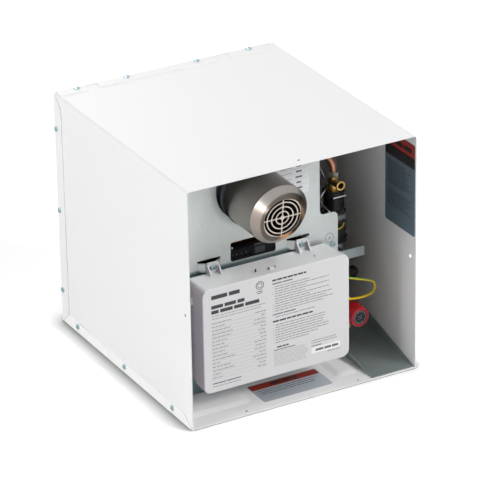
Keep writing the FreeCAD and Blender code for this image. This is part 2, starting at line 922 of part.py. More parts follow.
def back_panel():
    """Rear plate with strips down both sides and three tabs over the top."""
    outside = half_width + sheet
    top = case_height + sheet
    shoulder = case_height - back_shoulder
    chamfer = back_corner_chamfer
    plate = upright_plate([(-outside, 0, 0), (outside, 0, 0), (outside, shoulder, 0),
                           (outside - chamfer, top, 0), (chamfer - outside, top, 0),
                           (-outside, shoulder, 0)], case_depth - sheet, sheet)
    seam = case_depth - back_strip_depth
    strip = [(seam, pan_flange_height + seam_width, 0),
             (seam, shoulder - back_strip_chamfer, 0),
             (seam + back_strip_chamfer, shoulder, 0), (case_depth - sheet / 2, shoulder, 0),
             (case_depth - sheet / 2, 0, 0),
             (seam + pan_flange_height + seam_width, 0, 0)]
    pieces = [plate, side_plate(strip, -outside, sheet), side_plate(strip, half_width, sheet)]
    for start, end in back_tabs:
        pieces.append(block(start - half_width, end - half_width, case_depth - back_tab_depth,
                            case_depth - sheet / 2, case_height, top))
    shape = joined(pieces)
    for seat, way in case_screw_places():
        shape = shape.cut(screw_hole(seat, way, screw_length))
    ports = [(water_x, water_height, fitting_radius), (hot_fitting_x, water_height, fitting_radius),
             (gas_x, gas_height, gas_fitting_radius), (gland_x, gland_height, gland_barrel_radius)]
    for x, z, radius in ports:
        start = at(x, case_depth - sheet - past, z)
        shape = shape.cut(rod(radius + pipe_slack, start, BACK, sheet + 2 * past))
    return shape


def case_screws():
    return group([screw(seat, way, screw_length) for seat, way in case_screw_places()])


# ================================================================ front panel
def lug(place):
    """Lanced bridge pushed out of the panel, open above and below."""
    start = place - lug_width / 2
    end = place + lug_width / 2
    front = panel_depth - lug_reach
    slant = lug_slant
    outer = [(start, panel_depth), (start + slant, front), (end - slant, front), (end, panel_depth),
             (end, panel_back_depth), (end - lug_foot, panel_back_depth),
             (end - slant - lug_foot, front + sheet), (start + slant + lug_foot, front + sheet),
             (start + lug_foot, panel_back_depth), (start, panel_back_depth)]
    corners = [at(x, depth, lug_bottom) for x, depth in outer]
    face = Part.Face(Part.makePolygon(corners + corners[:1]))
    return face.extrude(UP * lug_height)


def front_panel():
    """Galvanised panel: flue hole, window, notch, two lanced lugs, flanges top and bottom."""
    left = left_wall + seam_gap
    top = ceiling
    foot = pad_top
    notch = panel_notch_height
    corners = [(left, foot, 0), (panel_lower_edge, foot, 0),
               (panel_lower_edge, notch, panel_corner_radius),
               (panel_upper_edge, notch, panel_notch_radius), (panel_upper_edge, top, 0),
               (left, top, case_corner_radius)]
    shape = upright_plate(corners, panel_depth, sheet)
    flanges = [block(left, panel_lower_edge, panel_depth, panel_back_depth + panel_flange,
                     foot, foot + sheet),
               block(left + case_corner_radius, panel_upper_edge, panel_depth,
                     panel_back_depth + panel_flange, top - sheet, top)]
    shape = joined([shape] + flanges)
    through = sheet + 2 * past
    shape = shape.cut(rod(flue_radius + panel_hole_ease, at(flue_x, panel_depth - past, flue_z),
                          BACK, through))
    slack = at(flue_x - panel_slack_left, panel_depth - past, flue_z + panel_slack_up)
    shape = shape.cut(rod(panel_slack_radius, slack, BACK, through))
    window = rounded_rectangle(window_left, window_left + window_width, window_bottom,
                               window_bottom + window_height, window_radius)
    shape = shape.cut(upright_plate(window, panel_depth - past, through))
    for place in lug_places:
        slot = block(place - lug_width / 2, place + lug_width / 2, panel_depth - past,
                     panel_back_depth + past, lug_bottom - lug_slot_below,
                     lug_top + lug_slot_above)
        shape = shape.cut(slot).fuse(lug(place))
    shape = shape.removeSplitter()
    for seat in ear_screw_places() + rail_screw_seats() + [earth_screw_place()]:
        shape = shape.cut(screw_hole(seat, FRONT, ear_hole_length))
    for seat in flange_screw_places():
        shape = shape.cut(screw_hole(seat, UP, screw_length))
    return shape


def panel_screws():
    """Ear, rail, earth and foot screws, all the same pan-head size."""
    pieces = [screw(seat, FRONT, ear_screw_length) for seat in ear_screw_places()]
    pieces += [screw(seat, FRONT, screw_length) for seat in rail_screw_seats()]
    pieces.append(screw(earth_screw_place(), FRONT, screw_length))
    pieces += [screw(seat, UP, screw_length) for seat in flange_screw_places()]
    return group(pieces)


def support_rail():
    """Rail behind the panel with a bracket that clamps the riser."""
    end = right_wall - rail_end_gap
    start = end - rail_length
    top = rail_bottom + rail_height
    web = block(start, end, panel_back_depth, panel_back_depth + sheet, rail_bottom, top)
    ring_bore = riser_radius + clamp_depth_slack
    ring_z = rail_bottom + clamp_inset
    ring_height = rail_height - 2 * clamp_inset
    ring = tube(ring_bore + clamp_wall, ring_bore, at(water_x, water_depth, ring_z), UP,
                ring_height)
    arm_side = water_x - clamp_arm_offset
    arm = block(arm_side, arm_side + sheet, panel_back_depth, water_depth - ring_bore, ring_z,
                ring_z + ring_height)
    shape = joined([web, arm, ring])
    for seat in rail_screw_seats():
        shape = shape.cut(screw_hole(seat, FRONT, ear_hole_length))
    return shape


# ================================================================ flue
def tilted(shape):
    """Turn a part of the flue's end so that it faces slightly down."""
    shape.rotate(at(flue_x, flue_rim_depth, flue_z), RIGHT, flue_tilt)
    return shape


def flue_pipe():
    """Straight pipe whose front end is cut square to the tilted cone."""
    spare = 2 * flue_radius * math.tan(math.radians(flue_tilt))
    start = flue_rim_depth - spare
    shape = tube(flue_radius, flue_radius - flue_wall, at(flue_x, start, flue_z), BACK,
                 chamber_front - start)
    reach = 2 * flue_radius
    waste = tilted(block(flue_x - reach, flue_x + reach, flue_rim_depth - 3 * spare,
                         flue_rim_depth, flue_z - reach, flue_z + reach))
    return shape.cut(waste)


def flue_cone():
    """Tapered end: a skirt inside the pipe, the cone, and a lip turned back to the grille."""
    skirt = flue_radius - flue_wall - skirt_slack
    rim = flue_rim_depth - flue_lip_depth
    inner_lip = flue_lip_radius - cone_wall
    profile = [(flue_lip_radius, 0), (flue_radius, rim), (skirt, rim), (skirt, rim + cone_skirt),
               (skirt - cone_wall, rim + cone_skirt), (skirt - cone_wall, rim - cone_wall / 2),
               (flue_lip_radius + cone_wall, cone_fold), (flue_lip_radius, cone_fold),
               (flue_lip_radius, grille_recess + grille_thickness),
               (inner_lip, grille_recess + grille_thickness), (inner_lip, 0)]
    return tilted(turned(profile, at(flue_x, flue_lip_depth, flue_z), BACK))


def flue_grille():
    """Three rings, a hub and a rim on four bars, cut from one plate."""
    front = flue_lip_depth + grille_recess
    centre = at(flue_x, front, flue_z)
    rim = flue_lip_radius - cone_wall - grille_fit
    pieces = [tube(rim, rim - grille_rim_width, centre, BACK, grille_thickness),
              rod(grille_hub_radius, centre, BACK, grille_thickness)]
    for radius in grille_rings:
        pieces.append(tube(radius + grille_bar / 2, radius - grille_bar / 2, centre, BACK,
                           grille_thickness))
    reach = rim - grille_rim_width / 2
    half = grille_bar / 2
    pieces.append(block(flue_x - reach, flue_x + reach, front, front + grille_thickness,
                        flue_z - half, flue_z + half))
    pieces.append(block(flue_x - half, flue_x + half, front, front + grille_thickness,
                        flue_z - reach, flue_z + reach))
    return tilted(joined(pieces))


def flue_seal():
    """Rubber collar round the pipe, its foot against the collector."""
    bore = flue_radius + slip
    collar = flue_radius + seal_wall
    profile = [(bore, 0), (collar + seal_foot, 0), (collar + seal_foot, seal_foot_thickness),
               (collar, seal_foot_height), (collar, seal_length - seal_edge),
               (collar - seal_edge, seal_length), (bore, seal_length)]
    return turned(profile, at(flue_x, chamber_front, flue_z), FRONT)


def flue_collector():
    """Hood over the heat exchanger with a round spigot inside the flue pipe."""
    t = chamber_sheet
    slope = collector_slope

    def hood(inset, floor):
        corners = [(chamber_front + inset, floor, 0), (chamber_back - inset, floor, 0),
                   (chamber_back - inset, collector_top - slope, 0),
                   (chamber_back - slope, collector_top - inset, 0),
                   (chamber_front + inset, collector_top - inset, 0)]
        return side_plate(corners, chamber_left + inset, chamber_width - 2 * inset)

    outer_spigot = flue_radius - flue_wall - pipe_slack
    spigot_start = at(flue_x, chamber_front - spigot_length, flue_z)
    shape = hood(0, exchanger_top).cut(hood(t, exchanger_top - past))
    shape = shape.fuse(rod(outer_spigot, spigot_start, BACK, spigot_length + t / 2))
    shape = shape.cut(rod(outer_spigot - t, spigot_start + FRONT * past, BACK,
                          spigot_length + t + 2 * past))
    return shape.removeSplitter()


# ================================================================ heat exchanger and burner
def exchanger_shell():
    """Copper jacket between the burner box and the collector."""
    t = chamber_sheet
    outer = block(chamber_left, chamber_right, chamber_front, chamber_back, burner_top,
                  exchanger_top)
    inner = block(chamber_left + t, chamber_right - t, chamber_front + t, chamber_back - t,
                  burner_top - past, exchanger_top + past)
    shape = outer.cut(inner)
    for depth in port_depths:
        start = at(chamber_left - past, depth, core_z)
        shape = shape.cut(rod(water_tube_radius + slip, start, RIGHT, chamber_width + 2 * past))
    return shape


def exchanger_core():
    """Two water tubes through a stack of fins, joined by a return bend on the left."""
    t = chamber_sheet
    first, second = port_depths
    start = chamber_left - tube_stub_left
    stub = chamber_right + tube_stub_right
    bores = [rod(water_tube_radius - water_tube_wall, at(start, depth, core_z), RIGHT,
                 stub + past - start) for depth in port_depths]
    tubes = [rod(water_tube_radius, at(start, depth, core_z), RIGHT, stub - start)
             for depth in port_depths]
    fins = []
    inner_left = chamber_left + t
    pitch = (chamber_width - 2 * t) / (fin_count + 1)
    for index in range(1, fin_count + 1):
        x = inner_left + index * pitch - fin_thickness / 2
        fins.append(block(x, x + fin_thickness, chamber_front + t + fin_clearance,
                          chamber_back - t - fin_clearance, core_top - core_height, core_top))
    header = block(start - header_length, start, first - water_tube_radius,
                   second + water_tube_radius, core_z - water_tube_radius,
                   core_z + water_tube_radius)
    ends = [e for e in header.Edges if e.CenterOfMass.x < start - header_length + past]
    header = header.makeFillet(header_radius, ends)
    shape = joined(tubes + fins + [header])
    for bore in bores:
        shape = shape.cut(bore)
    return shape


def burner_box():
    """Box under the heat exchanger: air in at the back, gas jets in at the front."""
    t = chamber_sheet
    outer = block(chamber_left, chamber_right, chamber_front, chamber_back, stand_height,
                  burner_top)
    inner = block(chamber_left + t, chamber_right - t, chamber_front + t, chamber_back - t,
                  stand_height + t, burner_top + past)
    shape = outer.cut(inner)
    duct_bottom, duct_top = fan_outlet_span()
    shape = shape.cut(block(fan_left + fan_wall, fan_right - fan_wall, chamber_back - t - past,
                            chamber_back + past, duct_bottom + fan_wall, duct_top - fan_wall))
    through = t + 2 * past
    for x in burner_places():
        start = at(x, chamber_front - past, manifold_height)
        shape = shape.cut(rod(jet_radius + jet_hole_slack, start, BACK, through))
    for x in electrode_places():
        start = at(x, chamber_front - past, burner_top - electrode_drop)
        shape = shape.cut(rod(electrode_radius + slip, start, BACK, through))
    return shape


def burner_places():
    pitch = (chamber_width - 2 * burner_margin) / burner_count
    first = chamber_left + burner_margin + pitch / 2
    return [first + pitch * index for index in range(burner_count)]


def burner_bars():
    """Blade burners standing side by side, each with a slotted crown."""
    bottom = stand_height + chamber_sheet
    crown = bottom + burner_bar_height
    half = burner_bar_width / 2
    front = chamber_front + chamber_sheet + jet_length
    back = chamber_back - chamber_sheet - burner_back_gap
    bars = []
    for x in burner_places():
        bar = block(x - half, x + half, front, back, bottom, crown)
        bar = bar.cut(block(x - half - past, x + half + past, front + burner_bar_end,
                            back - burner_bar_end, bottom - past, bottom + burner_bar_lift))
        for place in burner_slot_places:
            bar = bar.cut(block(x + place, x + place + burner_slot, front + burner_slot_inset,
                                back - burner_slot_inset, crown - burner_slot_depth,
                                crown + past))
        throat = at(x, front - past, manifold_height)
        bar = bar.cut(rod(jet_radius + throat_slack, throat, BACK, throat_length))
        bars.append(bar)
    return group(bars)


def gas_manifold():
    """Square gas rail in front of the burner box with one jet for each burner."""
    half = manifold_size / 2
    jet_reach = chamber_front + jet_length - jet_end_gap
    middle = manifold_depth
    outer = block(chamber_left, chamber_right, middle - half, middle + half,
                  manifold_height - half, manifold_height + half)
    inset = manifold_wall
    inner = block(chamber_left + inset, chamber_right - inset, middle - half + inset,
                  middle + half - inset, manifold_height - half + inset,
                  manifold_height + half - inset)
    shape = outer.cut(inner)
    for x in burner_places():
        start = at(x, middle + half - inset / 2, manifold_height)
        shape = shape.fuse(rod(jet_radius, start, BACK, jet_reach - middle - half + inset / 2))
    inlet = rod(gas_tube_radius - gas_tube_wall, at(chamber_left - past, middle, manifold_height),
                RIGHT, inset + 2 * past)
    shape = shape.cut(inlet)
    for x in burner_places():
        start = at(x, middle, manifold_height)
        shape = shape.cut(rod(jet_bore, start, BACK, jet_reach))
    ears = []
    for x in (chamber_left + manifold_ear_inset,
              chamber_right - manifold_ear_inset - manifold_ear_width):
        ears.append(block(x, x + manifold_ear_width, middle + half - inset / 2, chamber_front,
                          manifold_height + half - sheet, manifold_height + half))
    return joined([shape] + ears)


def chamber_stand():
    """Sheet stand that carries the burner box on the two raised pads."""
    t = sheet
    right_leg = chamber_right + stand_span_right
    top = stand_height
    front = chamber_front + stand_inset
    back = chamber_back - stand_inset
    plate = block(chamber_left, right_leg, front, back, top - t, top)
    pieces = [plate,
              block(chamber_left, chamber_left + t, front, back, pad_top, top),
              block(chamber_left - stand_foot, chamber_left + t, front, back, pad_top, pad_top + t),
              block(right_leg - t, right_leg, front, back, pad_top, top),
              block(right_leg - t, right_leg + stand_right_foot, front, back, pad_top, pad_top + t)]
    shape = joined(pieces)
    middle = (front + back) / 2
    window = rounded_rectangle(front + stand_window_inset, back - stand_window_inset,
                               pad_top + stand_window_rise, top - stand_window_rise,
                               stand_window_radius)
    for x in (chamber_left, right_leg - t):
        shape = shape.cut(side_plate(window, x - past, t + 2 * past))
    return shape.cut(block(chamber_left + stand_air_left, right_leg - stand_air_right,
                           middle - stand_air_half_depth, middle + stand_air_half_depth,
                           top - t - past, top + past))


def electrode_places():
    return [chamber_left + electrode_inset, chamber_right - electrode_inset]


def spark_electrodes():
    """Ceramic sleeves with wire tips: one lights the gas, one senses the flame."""
    pieces = []
    z = burner_top - electrode_drop
    for x in electrode_places():
        start = at(x, chamber_front - electrode_reach, z)
        sleeve = rod(electrode_radius, start, BACK, electrode_length)
        tip = rod(electrode_tip_radius, start + BACK * (electrode_length - past), BACK,
                  electrode_tip_length)
        stub = rod(electrode_stub_radius, start + FRONT * electrode_stub_length, BACK,
                   electrode_stub_length + past)
        pieces.append(joined([sleeve, tip, stub]))
    return group(pieces)


def ignition_module():
    """Black moulded module behind the window, with ribs and a row of vents."""
    left = window_left - module_left_reach
    front = panel_back_depth + module_gap
    right = left + module_width
    top = module_bottom + module_height
    inset = module_rib_inset
    shape = block(left, right, front, front + module_thickness, module_bottom, top)
    ridge = top - module_ridge_drop
    ribs = [block(left + inset, right - inset, panel_back_depth, front, ridge,
                  ridge + module_ridge_height)]
    for place in module_rib_places:
        ribs.append(block(left + place, left + place + module_rib_width, panel_back_depth, front,
                          module_bottom + inset, top - inset))
    shape = joined([shape] + ribs)
    vent_bottom = module_bottom + module_vent_rise
    for index in range(module_vent_count):
        x = left + module_vent_start + module_vent_pitch * index
        vent = rounded_rectangle(x, x + module_vent_width, vent_bottom,
                                 vent_bottom + module_vent_height, module_vent_corner)
        shape = shape.cut(upright_plate(vent, front - past, past + module_vent_depth))
    foot_bottom = module_bottom + module_foot_rise
    foot = block(left + module_foot_inset, right - module_foot_inset, front + module_thickness,
                 chamber_front, foot_bottom, foot_bottom + module_foot_thickness)
    return joined([shape, foot])


def overheat_thermostat():
    """Cut-out on the heat exchanger's side, its capillary to the tee, and the valve's stem."""
    x = chamber_right
    depth = chamber_front + thermostat_depth
    z = burner_top + thermostat_rise
    half_depth = thermostat_plate_half_depth
    base = block(x, x + thermostat_plate, depth - half_depth, depth + half_depth,
                 z - thermostat_plate_half_height, z + thermostat_plate_half_height)
    body = rod(thermostat_radius, at(x + thermostat_plate / 2, depth, z), RIGHT,
               thermostat_height)
    out = x + thermostat_height
    rise = flue_z + capillary_rise
    stand_off = capillary_stand_off
    tee_side = at(water_x - 3.9, water_depth + 7.2, valve_top + 6.0)
    points = [at(out, depth, z), at(out + stand_off, depth, z + thermostat_radius),
              at(out + stand_off, depth + stand_off, rise),
              at(water_x - capillary_offset, depth + 5.0, rise), tee_side]
    path = bent_path(points, [capillary_bend / 2, capillary_bend, capillary_bend])
    bulb = rod(bulb_radius, tee_side + UP, DOWN, bulb_length)
    tee = rod(bleed_radius + slip, at(water_x, water_depth, valve_top), UP, bleed_height)
    sensing = joined([base, body, swept(path, capillary_radius), bulb]).cut(tee)
    branch = [at(water_x - 9.0, water_depth + 1.0, valve_top + branch_radius + slip),
              at(water_x - 16.3, water_depth - 6.7, valve_top + 4.0),
              at(water_x - capillary_offset, water_depth - 10.7, valve_top - 3.5),
              at(water_x - stem_offset, panel_back_depth + 15.8, valve_top - 8.5),
              at(water_x - stem_offset, panel_back_depth, valve_top - 10.5)]
    foot = rod(bleed_radius + bleed_foot + slip, at(water_x, water_depth, valve_top), UP,
               bleed_foot_height + slip)
    stem = swept(bent_path(branch, [4.0, 5.0, 5.0]), branch_radius).cut(foot).cut(tee)
    return group([sensing, stem])


# ================================================================ fan
def fan_outlet_span():
    """Lowest and highest level of the fan's outlet duct."""
    bottom = fan_height - scroll_radii[-1]
    return bottom, bottom + fan_outlet_height


def scroll_face(inset):
    """Spiral outline of the fan casing with its outlet towards the burner box."""
    x = fan_left + inset
    radii = [radius - inset for radius in scroll_radii]
    bottom, top = fan_outlet_span()

    def rim(radius, angle):
        return at(x, fan_depth + radius * math.cos(math.radians(angle)),
                  fan_height + radius * math.sin(math.radians(angle)))

    def bow(radius0, radius1, angle0, angle1):
        middle = (angle0 + angle1) / 2
        return Part.Arc(rim(radius0, angle0), rim((radius0 + radius1) / 2, middle),
                        rim(radius1, angle1)).toShape()

    cut_off = scroll_tongue_angle
    edges = [bow(radii[0], radii[1], cut_off, 90), bow(radii[1], radii[2], 90, 0),
             bow(radii[2], radii[3], 0, -90)]
    foot = rim(radii[3], -90)
    mouth_low = at(x, chamber_back, bottom + inset)
    mouth_high = at(x, chamber_back, top - inset)
    tongue = rim(radii[0], cut_off)
    edges.append(Part.LineSegment(foot, mouth_low).toShape())
    edges.append(Part.LineSegment(mouth_low, mouth_high).toShape())
    throat = V(tongue.x, tongue.y, top - inset)
    edges.append(Part.LineSegment(mouth_high, throat).toShape())
    edges.append(Part.LineSegment(throat, tongue).toShape())
    return Part.Face(Part.Wire(edges))


def fan_housing():
    outer = scroll_face(0).extrude(RIGHT * fan_width)
    inner = scroll_face(fan_wall).extrude(RIGHT * (fan_width - 2 * fan_wall))
    shape = outer.cut(inner)
    bottom, top = fan_outlet_span()
    shape = shape.cut(block(fan_left + fan_wall, fan_right - fan_wall, chamber_back - past,
                            chamber_back + fan_wall + past, bottom + fan_wall, top - fan_wall))
    through = fan_wall + 2 * past
    shape = shape.cut(rod(fan_inlet_radius, at(fan_right - fan_wall - past, fan_depth, fan_height),
                          RIGHT, through))
    shape = shape.cut(rod(hub_radius + hub_hole_slack, at(fan_left - past, fan_depth, fan_height),
                          RIGHT, through))
    lip_root = fan_wall / 2
    mouth = tube(fan_inlet_radius + inlet_lip_wall, fan_inlet_radius,
                 at(fan_right - lip_root, fan_depth, fan_height), RIGHT,
                 lip_root + inlet_lip_length)
    return shape.fuse(mouth).removeSplitter()


def fan_impeller():
    """Back disc, forward-leaning blades and a front ring."""
    start = fan_left + fan_wall + impeller_side_gap
    end = fan_right - fan_wall - impeller_side_gap
    plate = impeller_sheet
    centre = at(start, fan_depth, fan_height)
    pieces = [rod(impeller_radius, centre, RIGHT, plate),
              rod(hub_radius, centre, RIGHT, hub_length),
              tube(impeller_radius, impeller_inner, at(end - plate, fan_depth, fan_height), RIGHT,
                   plate)]
    reach = impeller_radius - impeller_inner
    blade = block(start + plate / 2, end - plate / 2, fan_depth - blade_thickness / 2,
                  fan_depth + blade_thickness / 2, fan_height, fan_height + reach * blade_stretch)
    blade.rotate(at(start, fan_depth, fan_height), RIGHT, blade_sweep)
    blade.translate(UP * (impeller_inner + blade_foot_gap))
    for index in range(impeller_blades):
        copy = blade.copy()
        copy.rotate(centre, RIGHT, 360.0 * index / impeller_blades)
        pieces.append(copy)
    shape = joined(pieces)
    before = centre + LEFT * past
    shape = shape.common(rod(impeller_radius, before, RIGHT, end - start + 2 * past))
    return shape.cut(rod(shaft_radius + slip, before, RIGHT, hub_length + 2 * past))


def fan_shaft():
    start = fan_left - motor_length / 2
    end = fan_left + fan_wall + impeller_side_gap + hub_length + shaft_tip
    return rod(shaft_radius, at(start, fan_depth, fan_height), RIGHT, end - start)


def fan_motor():
    """Motor on the fan's left side: can, end cap, flange and a bearing bore."""
    start = fan_left - motor_length
    centre = at(start, fan_depth, fan_height)
    can = rod(motor_radius, centre, RIGHT, motor_length)
    cap = rod(motor_radius - motor_cap_inset, centre + LEFT * motor_cap_reach, RIGHT,
              motor_cap_reach + past)
    flange = rod(motor_radius + motor_flange_rim,
                 at(fan_left - motor_flange_thickness, fan_depth, fan_height), RIGHT,
                 motor_flange_thickness)
    shape = joined([can, cap, flange])
    bore = rod(shaft_radius + running_clearance,
               at(fan_left - motor_length / 2 - past, fan_depth, fan_height), RIGHT,
               motor_length / 2 + 2 * past)
    return shape.cut(bore)


# ================================================================ gas side
def gas_valve_span():
    back = case_depth - gas_valve_gap
    return back - gas_valve_length, back


def plunger_depths():
    front, back = gas_valve_span()
    middle = (front + back) / 2
    return [middle - coil_spacing / 2, middle + coil_spacing / 2]


def gas_valve_body():
    """Die-cast body with a gas way along it and two plunger wells from above."""
    front, back = gas_valve_span()
    half = gas_valve_width / 2
    bottom = gas_height - gas_valve_height / 2
    top = gas_height + gas_valve_height / 2
    shape = block(gas_x - half, gas_x + half, front, back, bottom, top)
    uprights = [e for e in shape.Edges if abs(e.Length - gas_valve_height) < 1e-6]
    shape = shape.makeFillet(gas_valve_corner, uprights)
    outlet = at(gas_x, front - past, manifold_height - gas_outlet_drop)
    shape = shape.cut(rod(gas_tube_radius - gas_tube_wall, outlet, BACK, gas_valve_length / 2))
    shape = shape.cut(rod(gas_tube_radius, at(gas_x, back - gas_inlet_depth, gas_height), BACK,
                          gas_inlet_depth + past))
    for depth in plunger_depths():
        well = rod(plunger_bore, at(gas_x, depth, top - plunger_depth), UP, plunger_depth + past)
        shape = shape.cut(well)
    inset = gas_valve_foot_inset
    feet = [block(gas_x - half + inset, gas_x + half - inset, depth, depth + sheet, pad_top, bottom)
            for depth in (front + inset, back - inset - sheet)]
    return joined([shape] + feet)


def gas_valve_top():
    return gas_height + gas_valve_height / 2


def solenoid_coils():
    pieces = []
    for depth in plunger_depths():
        base = at(gas_x, depth, gas_valve_top())
        coil = rod(coil_radius, base, UP, coil_height)
        reach = coil_radius + yoke_reach
        top = gas_valve_top() + coil_height
        yoke = block(gas_x - reach, gas_x + reach, depth - yoke_half_depth,
                     depth + yoke_half_depth, top - yoke_thickness, top)
        shape = joined([coil, yoke])
        pieces.append(shape.cut(rod(plunger_bore, base + DOWN * past, UP,
                                    past + coil_height - coil_cap)))
    return group(pieces)


def plunger(depth):
    """Soft-iron plunger with a waist that takes its return spring's end."""
    radius = plunger_bore - plunger_clearance
    start = gas_valve_top() - plunger_depth + plunger_seat_gap
    end = gas_valve_top() + coil_height - coil_cap - plunger_travel - plunger_top_gap
    length = end - start
    tip = radius - plunger_tip_step
    neck = radius - plunger_neck_step
    shoulder = length - plunger_neck_length
    profile = [(0, 0), (tip, 0), (tip, plunger_tip_length),
               (radius, plunger_tip_length + plunger_cone_length), (radius, shoulder),
               (neck, shoulder), (neck, length), (0, length)]
    return turned(profile, at(gas_x, depth, start), UP)


def safety_plunger():
    return plunger(plunger_depths()[1])


def main_plunger():
    return plunger(plunger_depths()[0])


def gas_tube():
    """Tube from the valve's outlet forward and across to the manifold's end."""
    front = gas_valve_span()[0]
    outlet = manifold_height - gas_outlet_drop
    points = [at(gas_x, front, outlet), at(gas_x, manifold_depth, manifold_height),
              at(chamber_left, manifold_depth, manifold_height)]
    bend = tight_bend_share * (chamber_left - gas_x)
    return bent_tube(points, [bend], gas_tube_radius, gas_tube_wall)


def gas_inlet_fitting():
    """Flare fitting through the back panel and the tube that feeds the gas valve."""
    back = case_depth
    valve_back = gas_valve_span()[1]
    start = at(gas_x, valve_back, gas_height)
    tip = back + gas_outer_nut + gas_fitting_length
    pipe = rod(gas_feed_radius, start, BACK, back - valve_back)
    inner_nut = hexagon(gas_nut_across, at(gas_x, back - sheet - gas_inner_nut, gas_height), BACK,
                        gas_inner_nut)
    outer_nut = hexagon(gas_nut_across, at(gas_x, back, gas_height), BACK, gas_outer_nut)
    neck = rod(gas_fitting_radius, at(gas_x, back - sheet, gas_height), BACK, tip - back + sheet)
    cone = Part.makeCone(gas_fitting_radius - flare_step, gas_tube_radius, flare_length,
                         at(gas_x, tip, gas_height), BACK)
    shape = joined([pipe, inner_nut, outer_nut, neck, cone])
    reach = tip + flare_length - valve_back
    return shape.cut(rod(gas_feed_bore, start + FRONT * past, BACK, reach + 2 * past))


# ================================================================ water side
def tee_front():
    return water_depth - tee_length / 2


def tee_back():
    return water_depth + tee_length / 2


def manifold_tee():
    """Brass tee: cold water from the back, relief valve in front, riser on top."""
    barrel = rod(tee_radius, at(water_x, tee_front(), water_height), BACK, tee_length)
    neck = rod(riser_radius, at(water_x, water_depth, water_height), UP, tee_neck)
    shape = joined([barrel, neck])
    shape = shape.cut(rod(riser_bore, at(water_x, tee_front() - past, water_height), BACK,
                          tee_length + 2 * past))
    return shape.cut(rod(riser_bore, at(water_x, water_depth, water_height), UP, tee_neck + past))


def union_nuts():
    """Hexagon nuts: riser foot, relief valve joint, and under the copper gooseneck."""
    low = at(water_x, water_depth, water_height + tee_neck)
    foot = hexagon(union_across, low, UP, union_length)
    foot = foot.cut(rod(riser_bore, low + DOWN * past, UP, union_length + 2 * past))
    high = at(water_x, water_depth, column_top - collar_height)
    collar = hexagon(collar_across, high, UP, collar_height)
    collar = collar.cut(rod(copper_radius + slip, high + UP * collar_seat, UP, collar_height))
    collar = collar.cut(rod(copper_radius - copper_wall, high + DOWN * past, UP, collar_height))
    front = at(water_x, tee_front() - relief_hex_length, water_height)
    relief = hexagon(union_across, front, BACK, relief_hex_length)
    relief = relief.cut(rod(relief_bore + relief_neck_wall + slip, front + FRONT * past, BACK,
                            relief_hex_length + 2 * past))
    return group([foot, collar, relief])


def riser_pipe():
    """Brass pipe from the foot nut to the flow sensor, with a side port for the filter."""
    bottom = water_height + tee_neck + union_length
    start = at(water_x, water_depth, bottom)
    length = sensor_bottom - bottom
    pipe = rod(riser_radius, start, UP, length)
    port = rod(filter_port_radius, at(water_x, water_depth, filter_cap_height), RIGHT,
               riser_radius + filter_port_length)
    shape = joined([pipe, port])
    shape = shape.cut(rod(riser_bore, start + DOWN * past, UP, length + 2 * past))
    return shape.cut(rod(filter_port_bore, at(water_x, water_depth, filter_cap_height), RIGHT,
                         riser_radius + filter_port_length + past))


def filter_cap():
    """Ribbed screw cap on the riser's side port."""
    start = at(water_x + riser_radius + filter_port_length, water_depth, filter_cap_height)
    length = filter_cap_length
    cap = turned([(0, 0), (filter_cap_radius, 0), (filter_cap_radius, length - cap_chamfer_length),
                  (filter_cap_radius - cap_chamfer, length), (0, length)], start, RIGHT)
    half = cap_groove_width / 2
    rim = filter_cap_height + filter_cap_radius
    for index in range(cap_groove_count):
        groove = block(start.x + cap_groove_inset, start.x + length - cap_chamfer_length - past,
                       water_depth - half, water_depth + half, rim - cap_groove_depth, rim + past)
        groove.rotate(start, RIGHT, 360.0 * index / cap_groove_count)
        cap = cap.cut(groove)
    return cap


def turbine_level():
    return (sensor_bottom + bowl_bottom) / 2 + turbine_rise


def spider(level):
    """Cross that carries a pin bearing of the flow turbine."""
    half = spider_arm / 2
    top = level + spider_thickness
    arms = [block(water_x - sensor_bore, water_x + sensor_bore, water_depth - half,
                  water_depth + half, level, top),
            block(water_x - half, water_x + half, water_depth - sensor_bore,
                  water_depth + sensor_bore, level, top),
            rod(turbine_hub, at(water_x, water_depth, level), UP, spider_thickness)]
    hole = rod(turbine_pin + running_clearance, at(water_x, water_depth, level - past), UP,
               spider_thickness + 2 * past)
    return joined(arms).cut(hole)


def sensor_plug():
    """Connector on the front of the flow sensor."""
    return block(water_x - plug_left, water_x + plug_right, plug_front,
                 water_depth - sensor_radius + plug_root, bowl_bottom - plug_half_height,
                 bowl_bottom + plug_half_height)


def flow_sensor_housing():
    """Black sensor body with a foot flange, a connector and the turbine's two spiders."""
    start = at(water_x, water_depth, sensor_bottom)
    height = bowl_bottom - sensor_bottom
    flange = rod(sensor_flange_radius, start, UP, sensor_flange_thickness)
    body = rod(sensor_radius, start, UP, height)
    shape = joined([flange, body, sensor_plug()])
    shape = shape.cut(rod(sensor_bore, start + DOWN * past, UP, height + 2 * past))
    shape = shape.cut(rod(bowl_radius + slip, at(water_x, water_depth, bowl_bottom), UP,
                          plug_half_height + past))
    gap = turbine_height / 2 + turbine_end_gap
    low = spider(turbine_level() - gap - spider_thickness)
    high = spider(turbine_level() + gap)
    return joined([shape, low, high])


